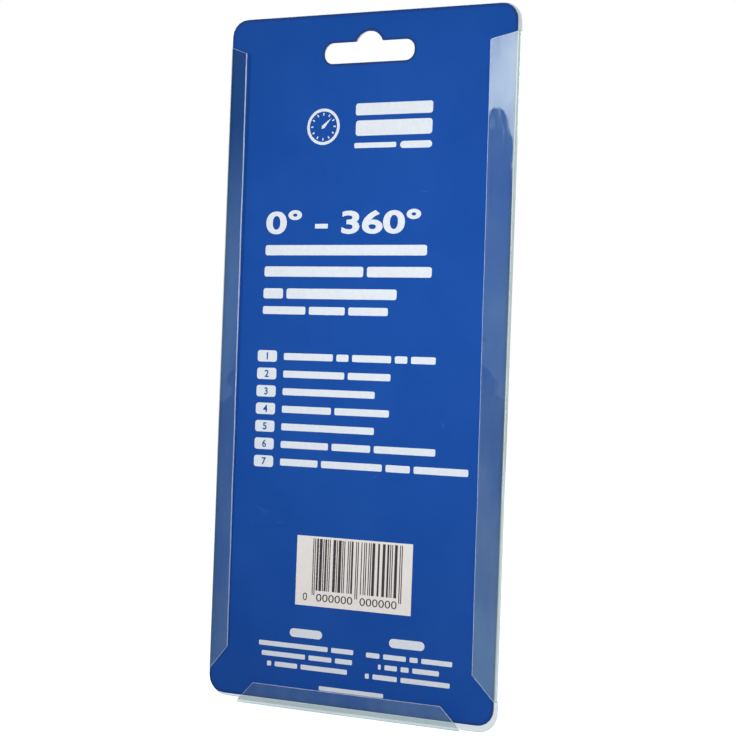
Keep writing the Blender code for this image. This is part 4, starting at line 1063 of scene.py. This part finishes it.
# Faint rubs on the card's back, and a painted shadow round the slot
wear = {
    # (across, down, length, turn in degrees) in millimetres from its top left corner
    "rubs": [
        (14.5, 163.0, 7.5, 18), (17.0, 164.6, 4.0, 24), (23.5, 168.2, 2.6, -8), (12.2, 166.8, 3.2, 41),
        (71.0, 58.5, 3.6, 12), (58.0, 151.5, 2.4, -30), (81.5, 132.0, 2.8, 65),
    ],
    "rubHalves": [0.0, 0.05, 0.08, 0.09, 0.07, 0.04, 0.0],
    "rubWobble": 0.05,
    "rubLift": 0.02 * mm,
    "slotShadow": (0.06 * mm, None, 6.5),  # how thick it is, no normals, and how flat
    "slotRimOut": 0.3 * mm,
}


def buildWear(values):
    strokes = FlatPrint("cardRubs", onBack(values["rubLift"]))
    picker = random.Random(3)
    halves = values["rubHalves"]
    for across, down, length, turn in values["rubs"]:
        along = Matrix.Rotation(math.radians(turn), 2) @ Vector((1, 0))
        side = Vector((-along.y, along.x))
        spine = [(i / 6, values["rubWobble"] * picker.uniform(-1, 1)) for i in range(7)]
        upper, lower = ([along * length * s + side * (o + way * w) for (s, o), w in zip(spine, halves)]
                        for way in (1, -1))
        strokes.add([(across + p.x, down + p.y) for p in upper + lower[-2:0:-1]])
    strokes.finish(rubbedBlue, "card")
    # a dark ring round the slot: the painted shadow of its cut edge
    path = [(x, cardHigh.y, z) for x, z in slotPoints(sheet, sheet["slotBump"] + values["slotRimOut"])]
    newPiece("slotShadow", threadMesh("slotShadow", path, *values["slotShadow"], closed=True), slotShadowBlue, "card")


buildBackPrint(backPrint)
buildWear(wear)
buildFrontPrint(frontPrint, backPrint["lift"])
print("card printed")


# Finishes of the gauge's own pieces: kind, two colours, roughness from and to, and the strength of the bump

finishes = {
    "blackPlastic": ("plastic", (0.017, 0.017, 0.019), (0.030, 0.030, 0.033), (0.38, 0.54), 0.30),
    "dialFace": ("plastic", (0.010, 0.010, 0.012), (0.016, 0.016, 0.018), (0.50, 0.64), 0.10),
    "pointerRed": ("plastic", (0.56, 0.018, 0.012), (0.44, 0.012, 0.010), (0.26, 0.38), 0.12),
    "rubber": ("plastic", (0.014, 0.014, 0.015), (0.022, 0.022, 0.022), (0.70, 0.85), 0.30),
    "ferrite": ("plastic", (0.032, 0.032, 0.036), (0.055, 0.055, 0.060), (0.42, 0.62), 0.30),
    "turnedChrome": ("turned", (0.60, 0.61, 0.63), 0.86, (0.15, 0.27), 0.25),  # one number darkens the colour
    "plainChrome": ("metal", (0.60, 0.61, 0.63), 0.8, (0.16, 0.26), 0.10),
    "armSteel": ("metal", (0.50, 0.51, 0.53), 0.8, (0.20, 0.34), 0.10),
    "zincPlate": ("metal", (0.56, 0.58, 0.60), 0.72, (0.24, 0.40), 0.10),
    "bushBrass": ("turned", (0.62, 0.43, 0.16), 0.86, (0.22, 0.36), 0.25),
    "blackSteel": ("metal", (0.09, 0.09, 0.10), 0.8, (0.30, 0.46), 0.10),
    "dialWhite": ("print", (0.78, 0.78, 0.75), (0.70, 0.70, 0.67)),
}
looks = {}
for name, (kind, colour, second, *rest) in finishes.items():
    dull = tuple(value * second for value in colour) if isinstance(second, float) else second
    looks[name] = makeFinish(name, kind, colour, dull, *rest)

carriedOver = {
    "backing_card": printedCard,
    "scale_plate": looks["dialFace"],
    "journal_bush": looks["bushBrass"],
    "retaining_ring": looks["blackSteel"],
    "arm_set_screw": looks["blackSteel"],
    "friction_ring": looks["rubber"],
}
for node in ("dial_screw_1", "dial_screw_2", "dial_screw_3", "pointer_rivet_1", "pointer_rivet_2"):
    carriedOver[node] = looks["zincPlate"]
for node, finish in carriedOver.items():
    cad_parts[node].data.materials.clear()
    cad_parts[node].data.materials.append(finish)
print("finishes made")


# The square drive: collar, journal and hub with the socket, the square and its sprung ball

driveShape = {
    "shaft": [(0, 15.7, 0), (16.0, 15.7, 0.5), (16.0, 17.7, 0.2), (13.0, 17.7, 0.1), (13.0, 21.6, 0.1),
              (12.3, 21.6, 0), (12.3, 22.8, 0), (12.8, 22.8, 0.1), (12.8, 26.2, 0.15), (11.5, 26.2, 0.4),
              (11.5, 28.2, 0.4), (12.8, 28.2, 0.15), (12.8, 37.7, 0.9), (9.6, 37.7, 0), (0, 37.7, 0)],
    "square": 6.35,  # half its side
    "squareCorner": 0.9,
    "squareSteps": [(-1.0, 0.5), (-0.55, 0.62), (-0.16, 1.0), (0, 1.6), (0, 16.4)],  # (wider by, depth)
    "socket": 6.425,
    "socketCorner": 0.6,
    "socketSteps": [(0, 21.2), (0, 36.9), (0.8, 37.7), (0.8, 39.7)],
    "ballPlay": 0.2 * mm,
    "ballRoomFloor": -6.0 * mm,
    "ballMouth": 1.96 * mm,
    "mouthSpan": (0.9 * mm, 0.2 * mm, 0.9 * mm),  # it narrows under the surface and goes on past it
    "dimple": (2, -2, 13),  # radius, from and to
    "dimpleDepth": 33.4 * mm,
    "spring": (1.45, 0.3, 4.25),  # coil radius, wire radius and turns
    "springSteps": 24,
    "springClose": 0.6,  # how close the end turns lie
}


def squareLoft(name, half, corner, steps):
    loops = []
    for wider, depth in steps:
        reach = half * mm + wider * mm
        outline = roundOutline(boxCorners(-reach, reach, -reach, reach, corner * mm), 5)
        loops.append([(x, -depth * mm, dialZ + z) for x, z in outline])
    return loftMesh(name, loops)


def buildDrive(values):
    body = turnedMesh("driveBody", roundProfile(values["shaft"]), 144, ring=False)
    square = squareLoft("maleSquare", values["square"], values["squareCorner"], values["squareSteps"])
    socket = squareLoft("socketRoom", values["socket"], values["socketCorner"], values["socketSteps"])
    ballLow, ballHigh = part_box("detent_ball")
    centre = (ballLow + ballHigh) / 2
    radius = (ballHigh.x - ballLow.x) / 2
    bore, mouth = radius + values["ballPlay"], values["ballMouth"]
    surface, floor = dialZ + values["square"] * mm - centre.z, values["ballRoomFloor"]
    wide, narrow, past = values["mouthSpan"]
    profile = [(0, floor), (bore, floor), (bore, surface - wide), (mouth, surface - narrow),
               (mouth, surface + past), (0, surface + past)]
    ballRoom = turnedMesh("ballRoom", profile, 32, False, tuple(centre))
    place = (0, -values["dimpleDepth"], dialZ + values["socket"] * mm)
    dimple = turnedMesh("dimple", wellProfile(*values["dimple"]), 32, False, place)
    mesh = combine(body, [(square, "UNION")] + [(room, "DIFFERENCE") for room in (socket, ballRoom, dimple)])
    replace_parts(newPiece("squareDrive", mesh, looks["turnedChrome"], "drive", angle=28), "drive_shaft")
    half = circlePoints(radius, 20, (0, 0), -math.pi / 2, math.pi)
    mesh = turnedMesh("sprungBall", half, 40, False, tuple(centre))
    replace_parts(newPiece("sprungBall", mesh, looks["plainChrome"], "ball"), "detent_ball")


def buildSpring(values):
    # the coil under the ball, which in the real gauge gets shorter as the ball is pressed in
    low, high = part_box("detent_spring")
    ballLow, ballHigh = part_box("detent_ball")
    middle = (ballLow.y + ballHigh.y) / 2
    radius, wire, turns = values["spring"]
    length = high.z - low.z
    steps = round(turns * values["springSteps"])
    path = []
    for i in range(steps + 1):
        share, angle = i / steps, 2 * math.pi * turns * i / steps
        rise = share - values["springClose"] * math.sin(2 * math.pi * share) / (2 * math.pi)
        path.append((radius * mm * math.cos(angle), middle + radius * mm * math.sin(angle),
                     low.z + wire * mm + (length - 2 * wire * mm) * rise))
    mesh = threadMesh("detentSpring", path, wire * mm, [(0, 0, 1)] * len(path), sides=10)
    spring = newPiece("detentSpring", mesh, looks["plainChrome"], "drive", angle=60)
    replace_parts(spring, "detent_spring")
    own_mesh(spring)


buildDrive(driveShape)
buildSpring(driveShape)
print("drive made")


# The dial's moulded dish with its ribs and the boss that grips the arm, and the ring that closes it

housing = {
    "dish": [(14.9, 18.0, 0.25), (35.9, 18.0, 0.9), (35.9, 23.7, 0.3), (33.7, 23.7, 0.3), (33.7, 20.1, 0.5),
             (14.9, 20.1, 0.25)],
    "ribs": 12,
    "ribBox": (17.5, 34.4, -0.6, 0.6, 0.45),
    "ribDepth": (16.7, 18.6),
    "ribEdge": 0.3 * mm,
    "boss": (-7.0, 7.0, -7.0, 7.0, 3.0),
    "bossPlace": (-22.0, 12.0, -147.8, -125.8),  # across, depth, foot and top
    "bossEdge": 0.35 * mm,
    "bossBore": (4.8, 10.3),  # radius and depth
    "screwBore": (1.7, 9, -130.8),  # radius, length and height
    "screwRoom": [(0, 17), (2.2, 17), (2.2, 19.2), (1.2, 19.2), (1.2, 23), (0, 23)],
    "bezel": [(32.9, 24.05, 0.2), (36.2, 24.05, 0.1), (36.2, 19.45, 0.15), (37.4, 19.45, 0.35),
              (37.4, 20.1, 0), (37.4, 20.3, 0), (37.4, 24.2, 0), (37.4, 24.4, 0), (37.4, 25.5, 0.9),
              (34.3, 25.5, 0.5), (32.9, 24.75, 0.25)],
    "coinEdges": 120,
    "coinDepth": 0.22,
    "coinFrom": 37.39 * mm,
    "coinSpan": (20.0 * mm, 24.7 * mm),
}


def screwRooms(values):
    for number in (1, 2, 3):
        low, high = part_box(f"dial_screw_{number}")
        place = (low + high) / 2
        room = turnedMesh("screwRoom", [(r * mm, d * mm) for r, d in values["screwRoom"]], 28, False)
        for vert in room.vertices:
            vert.co.x += place.x
            vert.co.z += place.z - dialZ
        yield room, "DIFFERENCE"


def dishRibs(values):
    outline = roundOutline(boxCorners(*values["ribBox"]), 4)
    for i in range(values["ribs"]):
        turn = Matrix.Rotation(2 * math.pi * (i + 0.5) / values["ribs"], 2)

        def onDish(u, v, w):
            flat = turn @ Vector((u, v)) * mm
            return (flat.x, -w * mm, dialZ + flat.y)

        yield softenEdges(barMesh("dishRib", outline, *values["ribDepth"], onDish), values["ribEdge"])


def armBoss(values):
    x, depth, foot, top = values["bossPlace"]
    outline = roundOutline(boxCorners(*values["boss"]), 8)
    block = barMesh("boss", outline, foot, top, lambda u, v, w: ((x + u) * mm, (v - depth) * mm, w * mm))
    radius, deep = values["bossBore"]
    bore = turnedMesh("bossBore", wellProfile(radius, -deep, 2), 48, False, (x * mm, -depth * mm, top * mm))
    radius, long, height = values["screwBore"]
    sideHole = turnedMesh("screwBore", wellProfile(radius, 0, long), 28, False, (0, 0, 0))
    place = Matrix.Translation((x * mm, -depth * mm, height * mm))
    sideHole.transform(place @ Matrix.Rotation(-math.pi / 2, 4, "Y"))
    block = softenEdges(block, values["bossEdge"], 3, 60)
    return combine(block, [(bore, "DIFFERENCE"), (sideHole, "DIFFERENCE")])


def buildHousing(values):
    dish = combine(turnedMesh("dish", roundProfile(values["dish"]), 144), list(screwRooms(values)))
    ribs = list(dishRibs(values))
    mesh = meshOf("dialHousing", workingCopy(dish, armBoss(values), *ribs), outward=False)
    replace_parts(newPiece("dialHousing", mesh, looks["blackPlastic"], "pack", angle=34), "housing_base")
    low, high = values["coinSpan"]

    def coinEdge(radius, depth, angle):
        if radius < values["coinFrom"] or not low < depth < high:
            return radius
        return radius - values["coinDepth"] * mm * (0.5 - 0.5 * math.cos(values["coinEdges"] * angle)) ** 2

    mesh = turnedMesh("bezelRing", roundProfile(values["bezel"]), values["coinEdges"] * 6, fluting=coinEdge)
    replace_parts(newPiece("bezelRing", mesh, looks["blackPlastic"], "pack", angle=34), "bezel_ring")


buildHousing(housing)
print("housing made")


# The scale: a mark at every second degree and a number at every tenth

scale = {
    "lift": 0.03 * mm,
    "markOuter": 32.2 * mm,
    "shortMark": (1.5 * mm, 0.16 * mm),  # length and width
    "longMark": (2.9 * mm, 0.30 * mm),
    "numbers": (27.6 * mm, 1.75 * mm, 0.012),  # radius, height and weight
    "innerLine": (24.9 * mm, 25.15 * mm),
}


def buildScale(values):
    marks = FlatPrint("scaleMarks", lambda u, v: (u, plateFront - values["lift"], dialZ + v))
    far = values["markOuter"]
    for degrees in range(0, 360, 2):
        angle = math.radians(degrees)
        along = Vector((math.sin(angle), math.cos(angle)))
        length, width = values["shortMark" if degrees % 10 else "longMark"]
        side = Vector((along.y, -along.x)) * (width / 2)
        near = along * (far - length)
        marks.add([near - side, near + side, along * far + side, along * far - side])
        if degrees % 10 == 0:
            marks.addTurnedText(str(degrees), angle, *values["numbers"])
    marks.addRing(*(circlePoints(radius, 180) for radius in values["innerLine"]))
    marks.finish(looks["dialWhite"], "pack")


buildScale(scale)
print("scale printed")


# The pointer: a fluted knob and a flat blade under it

pointer = {
    "knob": [(13.1, 24.1, 0.15), (17.8, 24.1, 0.3), (17.8, 30.3, 0.9), (16.4, 30.3, 0.2), (16.1, 29.85, 0.2),
             (14.4, 29.85, 0.2), (14.1, 30.3, 0.2), (13.1, 30.3, 0.3), (13.1, 28.3, 0.2), (13.55, 27.9, 0.1),
             (13.55, 26.5, 0.1), (13.1, 26.1, 0.2)],
    "flutes": 32,
    "fluteFrom": (16.9 * mm, 17.8 * mm),
    "fluteDepth": 0.7,
    "flutePower": 0.7,
    "needle": [(13.15, 23.0, 0.1), (16.8, 23.0, 0.1), (16.8, 23.8, 0.15), (13.15, 23.8, 0.1)],
    "blade": [(-4.5, 15.6, 0), (4.5, 15.6, 0), (0.55, 31.8, 0.4), (-0.55, 31.8, 0.4)],
    "bladeDepth": (23.02, 23.78),
    "bladeEdge": 0.12 * mm,
    "indexLine": (-0.45, 14.5, 0.9, 1.5, 0.2),
    "indexDepth": 29.88,
}


def buildPointer(values):
    inner, outer = values["fluteFrom"]

    def flute(radius, depth, angle):
        if radius < inner:
            return radius
        hollow = (0.5 - 0.5 * math.cos(values["flutes"] * angle)) ** values["flutePower"]
        return radius - values["fluteDepth"] * mm * hollow * (radius - inner) / (outer - inner)

    def onDial(u, v, w=values["indexDepth"]):
        return (u * mm, -w * mm, dialZ + v * mm)

    mesh = turnedMesh("pointerKnob", roundProfile(values["knob"], 5), values["flutes"] * 9, fluting=flute)
    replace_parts(newPiece("pointerKnob", mesh, looks["blackPlastic"], "pointer"), "pointer_knob")
    ring = turnedMesh("pointerPlate", roundProfile(values["needle"]), 96)
    blade = barMesh("pointerBlade", roundOutline(values["blade"], 5), *values["bladeDepth"], onDial)
    blade = softenEdges(blade, values["bladeEdge"], 2, 50)
    mesh = meshOf("pointerNeedle", workingCopy(ring, blade), outward=False)
    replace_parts(newPiece("pointerNeedle", mesh, looks["pointerRed"], "pointer", angle=34), "pointer_needle")
    line = FlatPrint("pointerIndex", onDial)
    line.addBar(*values["indexLine"])
    line.finish(looks["dialWhite"], "pointer")


buildPointer(pointer)
print("pointer made")


# The gooseneck: a wound casing between two crimped sleeves, and the magnet on its free end

arm = {
    "radius": 3.5,
    "groove": 0.55,
    "windingPower": 0.55,
    "plainEnd": (0.4, 0.6),  # the casing is even this near its ends, and this high over the groove
    "pitch": 2.3,  # millimetres for each turn of the casing
    "sides": 28,
    "rowsEachTurn": 9,
    "fixedEnd": -132.0,
    "freeEnd": -93.0,
    "spread": 22.0,
    "bend": -62.0,
    "depth": 12.0,
    "sleeve": 4.5,
    "sleeveBore": 3.8,
    "sleeveTop": 6.0,
    "crimps": (1.5, 3.6),  # heights of the two crimped grooves above the sleeve's middle
    "crimpSteps": [(0, -0.5, 0.2), (-0.3, -0.25, 0.15), (-0.3, 0.25, 0.15), (0, 0.5, 0.2)],
    "fixedSleeve": [(0, -10.0, 0), (4.5, -10.0, 0.3)],
    "fixedSleeveFloor": -6.5,
    "freeSleeve": [(0, -9.6, 0), (3.0, -9.6, 0.3), (3.0, -4.5, 0.2), (3.7, -4.5, 0.2), (4.5, -3.7, 0.3)],
    "freeSleeveFloor": -0.3,
    "magnetCup": [(3.3, -6.0, 0.15), (9.0, -6.0, 1.5), (9.0, -18.0, 0.35), (7.6, -18.0, 0.2),
                  (7.6, -9.6, 0.2), (3.3, -9.6, 0.1)],
    "magnet": [(0, -18.4, 0), (7.3, -18.4, 0.5), (7.3, -9.9, 0.2), (0, -9.9, 0)],
}


def armPoint(values, distance):
    # the place on the arm's middle line and the direction there, that far from its fixed end
    spread, bend, depth = values["spread"], values["bend"], values["depth"]
    rise = bend - values["fixedEnd"]
    turn = math.pi * spread
    if distance < rise:
        return Vector((-spread, -depth, values["fixedEnd"] + distance)), Vector((0, 0, 1))
    if distance < rise + turn:
        angle = math.pi - (distance - rise) / spread
        around = Vector((math.cos(angle), 0, math.sin(angle)))
        return Vector((0, -depth, bend)) + around * spread, Vector((math.sin(angle), 0, -math.cos(angle)))
    return Vector((spread, -depth, bend - (distance - rise - turn))), Vector((0, 0, -1))


def armMesh(values):
    pitch, sides, back = values["pitch"], values["sides"], Vector((0, 1, 0))
    plainLength, plainHeight = values["plainEnd"]
    length = 2 * values["bend"] - values["fixedEnd"] + math.pi * values["spread"] - values["freeEnd"]
    count = round(length / pitch * values["rowsEachTurn"])
    rows = []
    for row in range(count + 1):
        distance = length * row / count
        place, along = armPoint(values, distance)
        across = along.cross(back)
        line = []
        for k, (c, s) in enumerate(circlePoints(1, sides)):
            wound = abs(math.sin(math.pi * ((distance / pitch + k / sides) % 1))) ** values["windingPower"]
            if min(distance, length - distance) < plainLength:
                wound = plainHeight
            radius = values["radius"] - values["groove"] * (1 - wound)
            line.append((place + (across * c + back * s) * radius) * mm)
        rows.append(line)
    return gridMesh("gooseneck", rows, capped=True)


def sleeveProfile(values, name):
    radius, bore, top = values["sleeve"], values["sleeveBore"], values["sleeveTop"]
    floor = values[f"{name}Floor"]
    crimps = [(radius + out, height + up, corner) for height in values["crimps"]
              for out, up, corner in values["crimpSteps"]]
    return roundProfile([*values[name], *crimps, (radius, top, 0.5), (bore, top, 0.2), (bore, floor, 0.1),
                         (0, floor, 0)])


def buildArm(values):
    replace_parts(newPiece("gooseneck", armMesh(values), looks["armSteel"], "pack", angle=60), "flexible_arm")
    spread, depth = values["spread"] * mm, -values["depth"] * mm
    fixed, free = (-spread, depth, housing["bossPlace"][3] * mm), (spread, depth, values["freeEnd"] * mm)
    sleeves = (("fixedSleeve", fixed, "base_ferrule"), ("freeSleeve", free, "end_ferrule"))
    turned = [(name, sleeveProfile(values, name), 56, False, place, "plainChrome", node)
              for name, place, node in sleeves]
    turned += [
        ("magnetCup", roundProfile(values["magnetCup"], 6), 72, True, free, "zincPlate", "magnet_cup"),
        ("magnetCore", roundProfile(values["magnet"]), 64, False, free, "ferrite", "magnet"),
    ]
    for name, *shape, finish, node in turned:
        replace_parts(newPiece(name, turnedMesh(name, *shape), looks[finish], "pack"), node)


buildArm(arm)
print("arm made")
